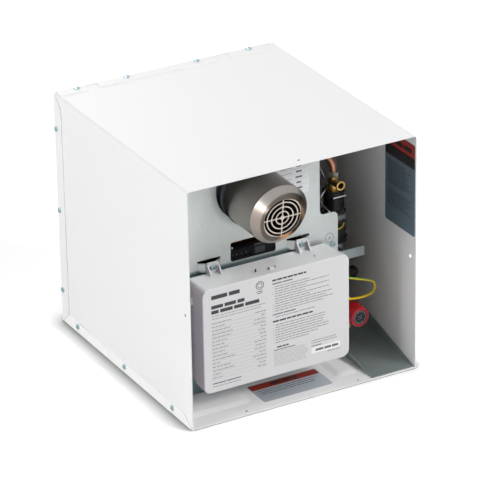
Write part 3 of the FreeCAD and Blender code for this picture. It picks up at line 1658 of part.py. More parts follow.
def flow_turbine():
    """Small water wheel on two pins."""
    bottom = turbine_level() - turbine_height / 2
    start = at(water_x, water_depth, bottom)
    pins = rod(turbine_pin, start + DOWN * spider_thickness, UP,
               turbine_height + 2 * spider_thickness)
    half = turbine_blade / 2
    pieces = [rod(turbine_hub, start, UP, turbine_height)]
    for index in range(turbine_blades):
        blade = block(water_x - half, water_x + half, water_depth, water_depth + turbine_radius,
                      bottom, bottom + turbine_height)
        blade.rotate(at(water_x, water_depth + turbine_radius / 2, bottom + turbine_height / 2),
                     BACK, turbine_blade_lean)
        blade.rotate(start, UP, 360.0 * index / turbine_blades)
        pieces.append(blade)
    wheel = joined(pieces).common(rod(turbine_radius, start, UP, turbine_height))
    return joined([wheel, pins])


def strainer_bowl():
    """Clear grey bowl between the sensor and the water valve."""
    start = at(water_x, water_depth, bowl_bottom)
    height = valve_bottom - bowl_bottom
    profile = [(sensor_bore, 0), (bowl_radius, 0), (bowl_radius, height - bowl_neck_height),
               (bowl_radius - bowl_neck_step, height), (sensor_bore, height)]
    return turned(profile, start, UP)


def water_valve_body():
    """Moulded water valve: ribbed body under a collar that the clip passes through."""
    start = at(water_x, water_depth, valve_bottom)
    height = valve_top - valve_bottom
    collar = valve_collar_height
    edge = valve_collar_edge
    profile = [(valve_bore, 0), (valve_waist, 0), (valve_radius, valve_foot_height)]
    for index in range(valve_rib_count):
        low = valve_foot_height + valve_rib_pitch * (index + 0.5)
        high = low + valve_rib_height
        rib = valve_radius + valve_rib_reach
        profile += [(valve_radius, low), (rib, low), (rib, high), (valve_radius, high)]
    profile += [(valve_radius, height - collar - valve_collar_slope),
                (valve_collar_radius, height - collar), (valve_collar_radius, height - edge),
                (valve_collar_radius - edge, height), (valve_bore, height)]
    shape = turned(profile, start, UP)
    reach = valve_collar_radius + past
    for x in clip_sides():
        slot = block(x - clip_bar / 2 - slip, x + clip_bar / 2 + slip, water_depth - reach,
                     water_depth + reach, clip_level - clip_height / 2 - slip,
                     clip_level + clip_height / 2 + slip)
        shape = shape.cut(slot)
    return shape


def clip_sides():
    reach = clip_width / 2 - clip_bar / 2
    return [water_x - reach, water_x + reach]


def valve_clip():
    """Spring clip: a straight bar in front of the collar and two legs through it."""
    front = water_depth - valve_collar_radius - clip_bar
    low = clip_level - clip_height / 2
    high = clip_level + clip_height / 2
    pieces = [block(water_x - clip_width / 2, water_x + clip_width / 2, front, front + clip_bar,
                    low, high)]
    for x in clip_sides():
        pieces.append(block(x - clip_bar / 2, x + clip_bar / 2, front, water_depth + clip_leg_reach, low,
                            high))
    return joined(pieces)


def bleed_tee():
    """Brass tee on the water valve with an open bleed port facing the front."""
    start = at(water_x, water_depth, valve_top)
    height = bleed_foot_height + bleed_height
    base = rod(bleed_radius + bleed_foot, start, UP, bleed_foot_height)
    body = rod(bleed_radius, start, UP, height)
    level = valve_top + bleed_foot_height + bleed_port_rise
    port = rod(bleed_port_radius, at(water_x, water_depth, level), FRONT, bleed_port_reach)
    lip = rod(bleed_port_radius + bleed_lip,
              at(water_x, water_depth - bleed_port_reach + bleed_lip_length, level), FRONT,
              bleed_lip_length)
    shape = joined([base, body, port, lip])
    shape = shape.cut(rod(copper_radius - copper_wall, start + DOWN * past, UP, height + 2 * past))
    return shape.cut(rod(bleed_port_bore, at(water_x, water_depth, level), FRONT,
                         bleed_port_reach + past))


def copper_gooseneck():
    """Copper pipe from the column up, over to the left and down to the heat exchanger."""
    top = column_top + gooseneck_rise
    leg = chamber_right + gooseneck_x_gap
    port = port_depths[0]
    foot = column_top - collar_height + collar_seat + pipe_end_gap
    points = [at(water_x, water_depth, foot), at(water_x, water_depth, top), at(leg, port, top),
              at(leg, port, core_z), at(chamber_right + tube_stub_right, port, core_z)]
    first_bend = min(gooseneck_bend, tight_bend_share * (water_x - leg))
    shape = bent_tube(points, [first_bend, pipe_bend, pipe_last_bend], copper_radius, copper_wall)
    return shape.fuse(port_socket(port)).removeSplitter()


def port_socket(depth):
    """Flared end of a pipe over a stub of the heat exchanger."""
    start = at(chamber_right + socket_gap, depth, core_z)
    outer = rod(water_tube_radius + socket_wall, start, RIGHT, socket_length)
    bore = rod(water_tube_radius + slip, start + LEFT * socket_gap, RIGHT, tube_stub_right)
    through = rod(copper_radius - copper_wall, start, RIGHT, socket_length + past)
    return outer.cut(bore).cut(through)


def cold_inlet_pipe():
    start = at(water_x, tee_back(), water_height)
    length = case_depth - sheet - fitting_nut_length - tee_back()
    return tube(cold_pipe_radius, cold_pipe_radius - water_pipe_wall, start, BACK, length)


def wall_fitting(x, pipe_radius):
    """Threaded half-inch connector: nuts on both faces of the back panel and a male end."""
    back = case_depth
    start = at(x, back - sheet - fitting_nut_length, water_height)
    inner_nut = hexagon(fitting_nut_across, start, BACK, fitting_nut_length)
    outer_nut = hexagon(fitting_nut_across, at(x, back, water_height), BACK, fitting_nut_length)
    length = fitting_nut_length * 2 + sheet + fitting_length
    stem = rod(fitting_radius, start, BACK, length)
    shape = joined([inner_nut, outer_nut, stem])
    return shape.cut(rod(pipe_radius - water_pipe_wall, start + FRONT * past, BACK,
                         length + 2 * past))


def cold_inlet_fitting():
    return wall_fitting(water_x, cold_pipe_radius)


def hot_outlet_fitting():
    return wall_fitting(hot_fitting_x, hot_pipe_radius)


def hot_outlet_pipe():
    """Pipe from the heat exchanger back, down and out to the hot connector."""
    port = port_depths[1]
    leg = chamber_right + hot_pipe_gap
    drop = case_depth - hot_drop_gap
    end = case_depth - sheet - fitting_nut_length
    points = [at(chamber_right + tube_stub_right, port, core_z), at(leg, port, core_z),
              at(leg, drop, core_z), at(hot_fitting_x, drop, water_height),
              at(hot_fitting_x, end, water_height)]
    shape = bent_tube(points, [hot_first_bend, hot_bend, hot_bend], hot_pipe_radius,
                      water_pipe_wall)
    return shape.fuse(port_socket(port)).removeSplitter()


def cable_gland():
    """Gland in the back panel for the supply cable."""
    back = case_depth
    inner_face = back - sheet - gland_inner_nut
    inner = hexagon(gland_radius * 2, at(gland_x, inner_face, gland_height), BACK,
                    gland_inner_nut)
    barrel = rod(gland_barrel_radius, at(gland_x, back - sheet, gland_height), BACK, sheet)
    outer = hexagon(gland_radius * 2, at(gland_x, back, gland_height), BACK, gland_outer_nut)
    rim, top = gland_dome_radius, gland_dome_length
    dome = turned([(0, 0), (rim, 0), (rim, top - gland_dome_slope), (rim - gland_dome_step, top),
                   (0, top)], at(gland_x, back + gland_outer_nut, gland_height), BACK)
    shape = joined([inner, barrel, outer, dome])
    reach = back + gland_outer_nut + top - inner_face
    return shape.cut(rod(gland_bore, at(gland_x, inner_face - past, gland_height), BACK,
                         reach + 2 * past))


# ================================================================ relief valve
def relief_body():
    """Brass relief valve: bonnet under the knob, barrel, and a spout pointing down."""
    seat_back = tee_front()
    bonnet = knob_radius - knob_wall - bonnet_clearance
    hexagon_front = seat_back - relief_hex_length
    spout_start = at(water_x, hexagon_front - spout_gap - spout_radius, water_height)
    pieces = [rod(relief_bore + relief_neck_wall, at(water_x, hexagon_front - past, water_height),
                  BACK, relief_hex_length + past),
              rod(relief_body_radius, at(water_x, bonnet_front + bonnet_length, water_height), BACK,
                  hexagon_front - bonnet_front - bonnet_length),
              rod(bonnet, at(water_x, bonnet_front, water_height), BACK, bonnet_length),
              rod(spout_radius, spout_start, DOWN, water_height - spout_bottom)]
    shape = joined(pieces)
    chamber_start = bonnet_front + bonnet_wall
    chamber_end = seat_back - seat_thickness
    shape = shape.cut(rod(relief_bore, at(water_x, chamber_start, water_height), BACK,
                          chamber_end - chamber_start))
    shape = shape.cut(rod(seat_bore, at(water_x, chamber_end - past, water_height), BACK,
                          seat_thickness + 2 * past))
    shape = shape.cut(rod(spindle_radius + running_clearance,
                          at(water_x, bonnet_front - past, water_height), BACK,
                          bonnet_wall + 2 * past))
    return shape.cut(rod(spout_bore, spout_start, DOWN, water_height - spout_bottom + past))


def relief_knob():
    """Hand knob: recessed face for its disc, hollow back over the bonnet."""
    length = knob_length
    inner = knob_radius - knob_wall
    cavity = bonnet_front - knob_front_depth - spindle_lift - collar_space
    recess = disc_radius + disc_fit
    profile = [(0, knob_recess), (recess, knob_recess), (recess, 0), (knob_radius - knob_edge, 0),
               (knob_radius, knob_edge), (knob_back_radius, length - knob_back_edge),
               (knob_back_radius - knob_back_edge, length), (inner, length), (inner, cavity),
               (0, cavity)]
    return turned(profile, at(water_x, knob_front_depth, water_height), BACK)


def knob_disc():
    return rod(disc_radius, at(water_x, knob_front_depth + knob_recess - disc_thickness,
                               water_height), BACK, disc_thickness)


def relief_spindle():
    """Stem with a collar inside the knob and a sealing head on the seat."""
    head_back = tee_front() - seat_thickness - seat_gap
    head_front = head_back - spindle_head_thickness
    front = bonnet_front - spindle_front_reach
    length = head_back - front
    collar = spindle_radius + spindle_collar
    profile = [(0, 0), (collar, 0), (collar, spindle_collar),
               (spindle_radius, spindle_collar), (spindle_radius, head_front - front),
               (spindle_head_radius, head_front - front), (spindle_head_radius, length), (0, length)]
    return turned(profile, at(water_x, front, water_height), BACK)


def relief_spring():
    """Compression spring round the stem: half turns that step back by half a pitch each."""
    start = bonnet_front + bonnet_wall + spring_wire
    end = tee_front() - seat_thickness - seat_gap - spindle_head_thickness - spring_wire
    halves = 2 * spring_turns
    step = (end - start) / halves
    lean = math.degrees(math.atan(step / (2 * spring_radius)))
    pieces = []
    for index in range(halves):
        side = 1 if index % 2 == 0 else -1
        middle = at(water_x, start + step * (index + 0.5), water_height)
        section = Part.makeCircle(spring_wire, middle + RIGHT * (side * spring_radius), UP)
        turn = Part.Face(Part.Wire(section)).revolve(middle, BACK, -180)
        turn.rotate(middle, UP, -side * lean)
        pieces.append(turn)
    joints = []
    for index in range(1, halves):
        side = 1 if index % 2 == 0 else -1
        place = at(water_x + side * spring_radius, start + step * index, water_height)
        joints.append(Part.makeSphere(spring_wire, place))
    return joined(pieces + joints)


# ================================================================ drain chute
def drain_chute():
    """Sloping gutter under the relief valve, its side flanges tapering to the front."""
    t = chute_sheet
    front, back = chute_front_depth, chute_back_depth
    low = pan_top
    high = pan_top + chute_rise
    floor = side_plate([(front, low, 0), (back, high, 0), (back, high + t, 0), (front, low + t, 0)],
                       chute_left, chute_width)
    pieces = [floor]
    for x, height in ((chute_left, chute_left_flange), (chute_right - t, chute_right_flange)):
        flange = [(front, low, 0), (back, high, 0), (back, high + height, 0), (front, low + t, 0)]
        pieces.append(side_plate(flange, x, t))
    pieces.append(block(chute_left, chute_right, back - t, back, pan_top, high + chute_left_flange))
    return joined(pieces)


# ================================================================ control box
def lid_shell(inset, front, back):
    """Rounded block with draft; inset shrinks it for the inside."""
    half_w = lid_width / 2 - inset
    half_h = lid_height / 2 - inset
    corner = lid_corner - inset
    small_w = half_w - lid_draft
    small_h = half_h - lid_draft
    wide = (box_x - half_w, box_x + half_w, box_z - half_h, box_z + half_h, corner)
    narrow = (box_x - small_w, box_x + small_w, box_z - small_h, box_z + small_h, corner)
    return tapered_box(wide, front, narrow, back)


def control_box_lid():
    """Moulded front cover with large corners, a soft front edge and a seat for the tray's rim."""
    outer = lid_shell(0, box_front_depth, lid_back_depth)
    rim = [e for e in outer.Edges
           if abs(e.CenterOfMass.y - at_depth(box_front_depth)) < 1e-3]
    outer = outer.makeFillet(lid_edge, rim)
    ledge = lid_back_depth - tray_lap
    step = tray_step - rim_fit + tray_draft * rim_fit
    cavity = lid_shell(lid_wall, box_front_depth + lid_wall, ledge - lid_seat)
    inner = lid_shell(step + tray_wall, box_front_depth + lid_wall, lid_back_depth + past)
    mouth = tray_outline(rim_fit)
    pocket = tapered_box(mouth, ledge, mouth, lid_back_depth + past)
    shape = outer.cut(cavity).cut(inner).cut(pocket)
    back = lid_back_depth - lid_slot_setback
    for place, width in lid_slots:
        x = box_x + place
        shape = shape.cut(block(x - width / 2, x + width / 2, back - lid_slot_depth, back,
                                box_top - lid_slot_drop, box_top + past))
    return shape


def tray_outline(grow):
    half_w = tray_width / 2 + grow
    half_h = tray_height / 2 + grow
    return (box_x - half_w, box_x + half_w, box_z - half_h, box_z + half_h, tray_corner + grow)


def ear(x):
    """Upright ear with two gussets and a slot for its screw."""
    half = ear_width / 2
    back = tray_back_depth
    front = back - ear_thickness
    top = tray_top + ear_height
    root = tray_top - ear_root
    plate = upright_plate([(x - half, root, 0), (x + half, root, 0), (x + half, top, ear_corner),
                           (x - half, top, ear_corner)], front, ear_thickness)
    gussets = []
    for start in (x - half, x + half - gusset_thickness):
        foot = tray_top - gusset_root
        corners = [(front - gusset_reach, foot, 0), (back, foot, 0), (back, top - ear_corner, 0),
                   (front, top - ear_corner, 0)]
        gussets.append(side_plate(corners, start, gusset_thickness))
    shape = joined([plate] + gussets)
    reach = ear_slot / 2
    rise = screw_radius + ear_slot_slack
    slot = rounded_rectangle(x - reach, x + reach, ear_screw_z - rise, ear_screw_z + rise,
                             screw_radius)
    return shape.cut(upright_plate(slot, front - past, ear_thickness + 2 * past))


def control_box_tray():
    """Back half of the box, hung on the panel's lugs by two ears."""
    front = lid_back_depth - tray_lap
    rim = tray_outline(0)
    back = tray_outline(-tray_draft)
    outer = tapered_box(rim, front, back, tray_back_depth)
    inner_rim = tray_outline(-tray_wall)
    inner_back = tray_outline(-tray_wall - tray_draft)
    inner = tapered_box(inner_rim, front - past, inner_back, tray_back_depth - tray_wall)
    shape = outer.cut(inner)
    pieces = [shape] + [ear(x) for x in ear_places]
    floor = tray_back_depth - tray_wall
    for x, z in board_posts():
        pieces.append(rod(post_radius, at(x, floor - post_height, z), BACK, post_height + past))
    tab_top = tray_top - side_tab_from_top
    left = box_x - tray_width / 2
    tab_front = front + side_tab_setback
    pieces.append(block(left - side_tab_reach, left + tray_wall / 2 + tray_draft, tab_front,
                        tab_front + gusset_thickness, tab_top - side_tab_height, tab_top))
    return joined(pieces)


def board_posts():
    half_w = tray_width / 2 - tray_wall - board_margin - board_post_inset
    half_h = tray_height / 2 - tray_wall - board_margin - board_post_inset
    return [(box_x + sx * half_w, box_z + sz * half_h) for sx in (-1, 1) for sz in (-1, 1)]


def board_back():
    return tray_back_depth - tray_wall - post_height


def circuit_board():
    half_w = tray_width / 2 - tray_wall - board_margin + board_overhang
    half_h = tray_height / 2 - tray_wall - board_margin + board_overhang
    corners = rounded_rectangle(box_x - half_w, box_x + half_w, box_z - half_h, box_z + half_h,
                                board_corner)
    face = board_back() - board_thickness
    shape = upright_plate(corners, face, board_thickness)
    for x, z in board_posts():
        shape = shape.cut(rod(board_hole_radius, at(x, face - past, z), BACK,
                              board_thickness + 2 * past))
    return shape


def board_components():
    """Transformer, relays, capacitors, heat sink and connectors on the board's front."""
    face = board_back() - board_thickness
    pieces = []
    for x, z, width, height, reach in board_blocks:
        pieces.append(block(box_x + x - width / 2, box_x + x + width / 2, face - reach, face,
                            box_z + z - height / 2, box_z + z + height / 2))
    for x, z, radius, reach in board_cans:
        pieces.append(rod(radius, at(box_x + x, face - reach, box_z + z), BACK, reach))
    return group(pieces)


# ================================================================ leads
def panel_slab():
    """The front panel's sheet, which trims the leads' ends."""
    return block(left_wall, panel_lower_edge, panel_depth, panel_back_depth, pad_top, ceiling)


def earth_lead():
    """Earth wire from the control box's side, out in a loop and back to the panel."""
    side = box_x + tray_width / 2
    points = [at(side - 0.4, 59.0, 121.8), at(side + 12.6, 59.5, 121.0), at(105.0, 60.5, 114.3),
              at(127.0, 61.5, 106.2), at(137.3, 62.0, 101.0), at(137.6, 62.0, 88.0),
              at(125.0, 62.0, 83.6), at(108.0, 62.5, 83.9), at(94.5, 65.5, 86.0),
              at(87.5, 70.0, 87.7), at(84.5, panel_depth, 88.0)]
    wire = lead("earth lead", points, earth_lead_radius)
    return wire.cut(panel_slab())


def sensor_lead_yellow():
    """Lead from the sensor's plug, round in a short arc to the back of the panel."""
    level = bowl_bottom
    points = [at(water_x + 5.1, plug_front + 0.3, level + 1.0),
              at(water_x + 1.2, 92.6, level - 2.6), at(water_x - 6.3, 91.0, level - 2.8),
              at(water_x - 15.3, 87.0, level - 1.3), at(water_x - 21.8, 81.5, level - 0.3),
              at(water_x - 23.3, panel_back_depth, level - 0.3)]
    wire = lead("yellow lead", points, sensor_lead_radius)
    return wire.cut(panel_slab()).cut(sensor_plug())


def sensor_lead_red():
    """Lead from the plug's left side to the back of the panel."""
    level = bowl_bottom
    points = [at(water_x - 1.4, plug_front + 1.0, level + 1.6),
              at(water_x - 7.8, 97.0, level + 2.2), at(water_x - 14.8, 93.0, level + 3.7),
              at(water_x - 20.8, 86.5, level + 4.2), at(water_x - 22.6, 81.0, level + 4.2),
              at(water_x - 23.0, panel_back_depth, level + 4.2)]
    wire = lead("red lead", points, sensor_lead_radius)
    return wire.cut(panel_slab()).cut(sensor_plug())


# ================================================================ export
nodes = {
    "case_wrapper": case_wrapper, "base_pan": base_pan, "back_panel": back_panel,
    "case_screws": case_screws, "front_panel": front_panel, "panel_screws": panel_screws,
    "support_rail": support_rail, "flue_pipe": flue_pipe, "flue_cone": flue_cone,
    "flue_grille": flue_grille, "flue_seal": flue_seal, "flue_collector": flue_collector,
    "heat_exchanger_shell": exchanger_shell, "heat_exchanger_core": exchanger_core,
    "burner_box": burner_box, "burner_bars": burner_bars, "gas_manifold": gas_manifold,
    "chamber_stand": chamber_stand, "fan_housing": fan_housing, "fan_impeller": fan_impeller,
    "fan_shaft": fan_shaft, "fan_motor": fan_motor, "gas_valve_body": gas_valve_body,
    "solenoid_coils": solenoid_coils, "safety_plunger": safety_plunger,
    "main_plunger": main_plunger, "gas_tube": gas_tube, "gas_inlet_fitting": gas_inlet_fitting,
    "ignition_module": ignition_module, "spark_electrodes": spark_electrodes,
    "overheat_thermostat": overheat_thermostat, "manifold_tee": manifold_tee,
    "union_nuts": union_nuts, "riser_pipe": riser_pipe,
    "flow_sensor_housing": flow_sensor_housing, "flow_turbine": flow_turbine,
    "strainer_bowl": strainer_bowl, "water_valve_body": water_valve_body,
    "valve_clip": valve_clip, "bleed_tee": bleed_tee, "copper_gooseneck": copper_gooseneck,
    "cold_inlet_pipe": cold_inlet_pipe, "cold_inlet_fitting": cold_inlet_fitting,
    "hot_outlet_pipe": hot_outlet_pipe, "hot_outlet_fitting": hot_outlet_fitting,
    "filter_cap": filter_cap, "relief_valve_body": relief_body, "relief_valve_knob": relief_knob,
    "knob_disc": knob_disc, "relief_spindle": relief_spindle, "relief_spring": relief_spring,
    "drain_chute": drain_chute, "control_box_tray": control_box_tray,
    "control_box_lid": control_box_lid, "circuit_board": circuit_board,
    "board_components": board_components, "earth_lead": earth_lead,
    "sensor_lead_yellow": sensor_lead_yellow, "sensor_lead_red": sensor_lead_red,
    "cable_gland": cable_gland,
}

os.makedirs("parts", exist_ok=True)
for name, build in nodes.items():
    shape = build()
    shape.exportStep("parts/" + name + ".step")
    print(name, "solids", len(shape.Solids), "valid", shape.isValid(),
          "volume", round(shape.Volume))
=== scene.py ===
"""Looks of a built-in tankless gas water heater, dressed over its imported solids.

Lengths are written in millimetres and turned into metres by MM.  X runs to the
right, Z up, and a depth is measured from the case's front edge to the back.
"""

import math

import bmesh
import bpy
import numpy as np
from mathutils import Matrix, Vector


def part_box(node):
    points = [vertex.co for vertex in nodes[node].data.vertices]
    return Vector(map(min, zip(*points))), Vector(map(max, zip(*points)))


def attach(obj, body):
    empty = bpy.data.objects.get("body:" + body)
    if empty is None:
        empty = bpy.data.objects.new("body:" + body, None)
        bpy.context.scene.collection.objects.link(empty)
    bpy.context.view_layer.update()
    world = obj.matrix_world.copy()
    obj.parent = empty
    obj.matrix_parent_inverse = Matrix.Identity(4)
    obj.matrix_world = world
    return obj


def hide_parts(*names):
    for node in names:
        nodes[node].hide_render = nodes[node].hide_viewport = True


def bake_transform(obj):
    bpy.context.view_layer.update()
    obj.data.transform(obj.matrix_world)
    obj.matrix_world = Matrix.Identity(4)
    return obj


MM = 0.001
FULL_TURN = 2 * math.pi
RIGHTWARD = (1, 0, 0)
FRONTWARD, BACKWARD = (0, -1, 0), (0, 1, 0)
UPWARD = (0, 0, 1)
LOW, HIGH = 0, 1

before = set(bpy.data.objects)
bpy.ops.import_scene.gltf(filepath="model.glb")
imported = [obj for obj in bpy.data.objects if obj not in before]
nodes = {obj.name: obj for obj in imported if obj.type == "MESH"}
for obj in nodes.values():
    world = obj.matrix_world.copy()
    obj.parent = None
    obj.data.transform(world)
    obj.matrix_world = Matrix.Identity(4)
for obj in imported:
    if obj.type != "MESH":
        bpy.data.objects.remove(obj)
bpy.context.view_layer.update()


def edge(node, side, axis):
    """Lowest or highest place of a node along an axis, in millimetres to one decimal."""
    return round(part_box(node)[side]["XYZ".index(axis)] / MM, 1)


def middle_of(node, axis):
    """Middle of a node along an axis, in millimetres."""
    return (edge(node, LOW, axis) + edge(node, HIGH, axis)) / 2


CASE_FRONT = edge("case_wrapper", LOW, "Y")
CASE_DEPTH = edge("back_panel", HIGH, "Y") - CASE_FRONT
CASE_HALF = edge("case_wrapper", HIGH, "X")
CASE_HEIGHT = edge("case_wrapper", HIGH, "Z")
SHEET = edge("case_wrapper", LOW, "Z")
WALL_INSIDE = CASE_HALF - SHEET
PANEL_DEPTH = 75.0
LID_FRONT = edge("control_box_lid", LOW, "Y") - CASE_FRONT
LID_LEFT = -130.5
LID_TOP = 171.7
BOX_RIGHT = edge("control_box_tray", HIGH, "X")
DISC_DEPTH = edge("knob_disc", LOW, "Y") - CASE_FRONT
WATER_X = middle_of("knob_disc", "X")
FITTING_HEIGHT = middle_of("knob_disc", "Z")
GASKET_DEPTH = middle_of("strainer_bowl", "Y") - CASE_FRONT


def at(x, depth, z):
    """Point in metres from a side position, a depth and a height in millimetres."""
    return np.array([x, depth + CASE_FRONT, z]) * MM


# ================================================================ shader maths
MIX_FIRST, MIX_SECOND, MIX_RESULT = 6, 7, 2      # the Mix node's sockets for colours


class Number:
    """A shader socket whose value varies over a surface; arithmetic adds Math nodes."""

    def __init__(self, maker, socket):
        self.maker = maker
        self.socket = socket

    def _math(self, operation, first, second=0.0, clamp=False):
        settings = {"operation": operation, "use_clamp": clamp}
        return self.maker.node("ShaderNodeMath", settings, {0: first, 1: second})

    def __add__(self, other):
        return self._math("ADD", self, other)

    def __sub__(self, other):
        return self._math("SUBTRACT", self, other)

    def __rsub__(self, other):
        return self._math("SUBTRACT", other, self)

    def __mul__(self, other):
        return self._math("MULTIPLY", self, other)

    def __truediv__(self, other):
        return self._math("DIVIDE", self, other)

    __radd__ = __add__
    __rmul__ = __mul__

    def clamped(self):
        return self._math("ADD", self, 0.0, True)

    def fraction(self):
        return self._math("FRACT", self)

    def root(self):
        return self._math("SQRT", self)

    def bearing(self, across):
        """Angle in radians of the direction (across, self)."""
        return self._math("ARCTAN2", self, across)

    def size(self):
        return self._math("ABSOLUTE", self)

    def over(self, level, softness):
        """0 below level, 1 above it, with a ramp of that softness."""
        return ((self - level) / softness + 0.5).clamped()

    def under(self, level, softness):
        return 1 - self.over(level, softness)

    def between(self, low, high, softness):
        return self.over(low, softness) * self.under(high, softness)


class Nodes:
    """Adds nodes to the tree of a material or of the world."""

    def __init__(self, tree):
        self.tree = tree

    def feed(self, socket, value):
        if isinstance(value, Number):
            self.tree.links.new(value.socket, socket)
        elif hasattr(value, "__len__") and len(value) == 3 and socket.type == "RGBA":
            socket.default_value = (*value, 1.0)
        else:
            socket.default_value = value

    def node(self, kind, settings=None, inputs=None, output=0):
        """Any node: its settings first, then the values or links of its sockets."""
        made = self.tree.nodes.new(kind)
        for key, value in (settings or {}).items():
            setattr(made, key, value)
        for key, value in (inputs or {}).items():
            self.feed(made.inputs[key], value)
        return Number(self, made.outputs[output])

    def rays(self, *kinds):
        """1 for rays of these kinds, 0 for the rest."""
        return sum(self.node("ShaderNodeLightPath", output=kind) for kind in kinds).clamped()


class Finish(Nodes):
    """A Principled material and the nodes that feed it."""

    def __init__(self, name, colour, **sockets):
        self.material = bpy.data.materials.new(name)
        self.material.use_nodes = True
        super().__init__(self.material.node_tree)
        self.shader = self.tree.nodes["Principled BSDF"]
        self.colour = colour
        for socket, value in sockets.items():
            self.set(socket.replace("_", " "), value)

    def set(self, socket, value):
        self.feed(self.shader.inputs[socket], value)
        return self

    def place(self, scale=(1, 1, 1)):
        """Object coordinates, stretched by a scale for each axis."""
        start = self.node("ShaderNodeTexCoord", output="Object")
        return self.node("ShaderNodeMapping", None, {"Vector": start, "Scale": scale})

    def part_of(self, vector, letter):
        """One of a vector's three numbers."""
        return self.node("ShaderNodeSeparateXYZ", None, {"Vector": vector}, letter)

    def axis(self, letter):
        """Distance along an axis of the part, in millimetres."""
        start = self.node("ShaderNodeTexCoord", output="Object")
        return self.part_of(start, letter) * (1 / MM)

    def facing(self, letter):
        """How far the surface faces along an axis of the part: -1 to 1."""
        return self.part_of(self.node("ShaderNodeTexCoord", output="Normal"), letter)

    def noise(self, scale, detail=3.0, stretch=(1, 1, 1)):
        """Cloudy pattern from 0 to 1; scale counts features in a metre."""
        inputs = {"Vector": self.place(stretch), "Scale": scale, "Detail": detail}
        return self.node("ShaderNodeTexNoise", None, inputs)

    def cells(self, scale):
        """Cell pattern: one random grey for each cell."""
        inputs = {"Vector": self.place(), "Scale": scale}
        colour = self.node("ShaderNodeTexVoronoi", None, inputs, "Color")
        return self.node("ShaderNodeSeparateColor", None, {"Color": colour}, "Red")

    def mix(self, share, first, second):
        """Colour between two colours: the first where share is 0, the second where it is 1."""
        inputs = {0: share, MIX_FIRST: first, MIX_SECOND: second}
        return self.node("ShaderNodeMix", {"data_type": "RGBA"}, inputs, MIX_RESULT)

    def tone(self, share, amount):
        """The finish's own colour, darker and lighter by an amount as share goes 0 to 1."""
        low = [part * (1 - amount) for part in self.colour]
        high = [min(part * (1 + amount), 1.0) for part in self.colour]
        return self.mix(share, low, high)

    def relief(self, height, strength, distance):
        """Bump of a height pattern, its distance in millimetres."""
        inputs = {"Height": height, "Strength": strength, "Distance": distance * MM}
        return self.set("Normal", self.node("ShaderNodeBump", None, inputs))


# ================================================================ finishes
# brown and gold round the flue's mouth: heat tint, partly painted shade and reflection
BURN_AND_SHADE_BROWN = (0.045, 0.03, 0.018)
BURN_AND_GLINT_GOLD = (0.75, 0.45, 0.24)
# painted shade along the top of the flue pipe
PIPE_SHADE_STEEL = (0.15, 0.125, 0.115)
# lighter steel: painted highlight on the left of the flue's cone
PAINTED_HIGHLIGHT_STEEL = (0.5, 0.42, 0.36)
# darker zinc for the painted shade on the panel and the rail
PAINTED_SHADE_ZINC = (0.13, 0.19, 0.2)
BRIGHT_BRASS, BROWN_BRASS = (0.66, 0.5, 0.2), (0.36, 0.26, 0.11)
# bright brass of the bleed tee's front: turned, partly a painted highlight
CAST_BRASS, TURNED_BRASS_HIGHLIGHT = (0.4, 0.29, 0.12), (0.95, 0.62, 0.2)
# painted light on the control box's top, painted shade on its left side
BOX_TOP_PAINTED_LIGHT, BOX_LEFT_PAINTED_SHADE = (0.93, 0.93, 0.94), (0.5, 0.45, 0.5)
FLUE_HOLE_X, FLUE_HOLE_HEIGHT, FLUE_HOLE_EDGE = -35.3, 270.1, 50.5
MOUTH_X, MOUTH_HEIGHT, MOUTH_EDGE = -25.2, 251.8, 34.4


def powder_coat(name, colour):
    """Satin powder coat: fine orange peel and faint clouds."""
    made = Finish(name, colour, Specular_IOR_Level=0.45)
    clouds = made.noise(9.0)
    peel = made.noise(900.0, detail=2.0)
    made.set("Base Color", made.tone(clouds, 0.012))
    made.set("Roughness", clouds * 0.1 + 0.38)
    return made.relief(peel, strength=0.12, distance=0.05)


def zinc_sheet(name, colour, dull=0.0, painted_shade=None):
    """Hot-dip zinc: small spangles, each a slightly different grey, and handling marks.

    dull adds to its roughness; the last argument gives the share of painted shade, a darker zinc,
    over the sheet.
    """
    made = Finish(name, colour, Metallic=0.55)
    spangle = made.cells(420.0)
    clouds = made.noise(16.0, detail=4.0)
    rub = made.noise(30.0, detail=5.0, stretch=(1, 1, 14))
    sheet = made.tone(spangle * 0.35 + clouds * 0.65, 0.09)
    # painted shade: darker zinc mixed over the sheet by the share
    if painted_shade:
        sheet = made.mix(painted_shade(made), sheet, PAINTED_SHADE_ZINC)
    made.set("Base Color", sheet)
    made.set("Roughness", spangle * 0.1 + rub * 0.16 + (0.3 + dull))
    return made.relief(spangle, strength=0.05, distance=0.04)


def panel_painted_shade(made):
    """Painted shade on the panel: below the box's top, round the flue's hole and towards the
    right.
    """
    x, z = made.axis("X"), made.axis("Z")
    # painted shade in a band below the box's top, a painted shadow round the flue's hole, darker
    # towards the right
    shelf_shade = z.under(LID_TOP - 0.2, 5.0) * (x.under(20.0, 12.0) * 0.8 + 0.12)
    across, up = x - FLUE_HOLE_X, z - FLUE_HOLE_HEIGHT
    hole_shadow = (across * across + up * up).root().under(FLUE_HOLE_EDGE, 9.0) * 0.42
    right_shade = x.over(50.0, 50.0) * 0.1
    return (shelf_shade + hole_shadow + right_shade).clamped()


def rail_painted_shade(made):
    """Painted shade at the rail's right end."""
    return made.axis("X").over(96.0, 12.0) * 0.62


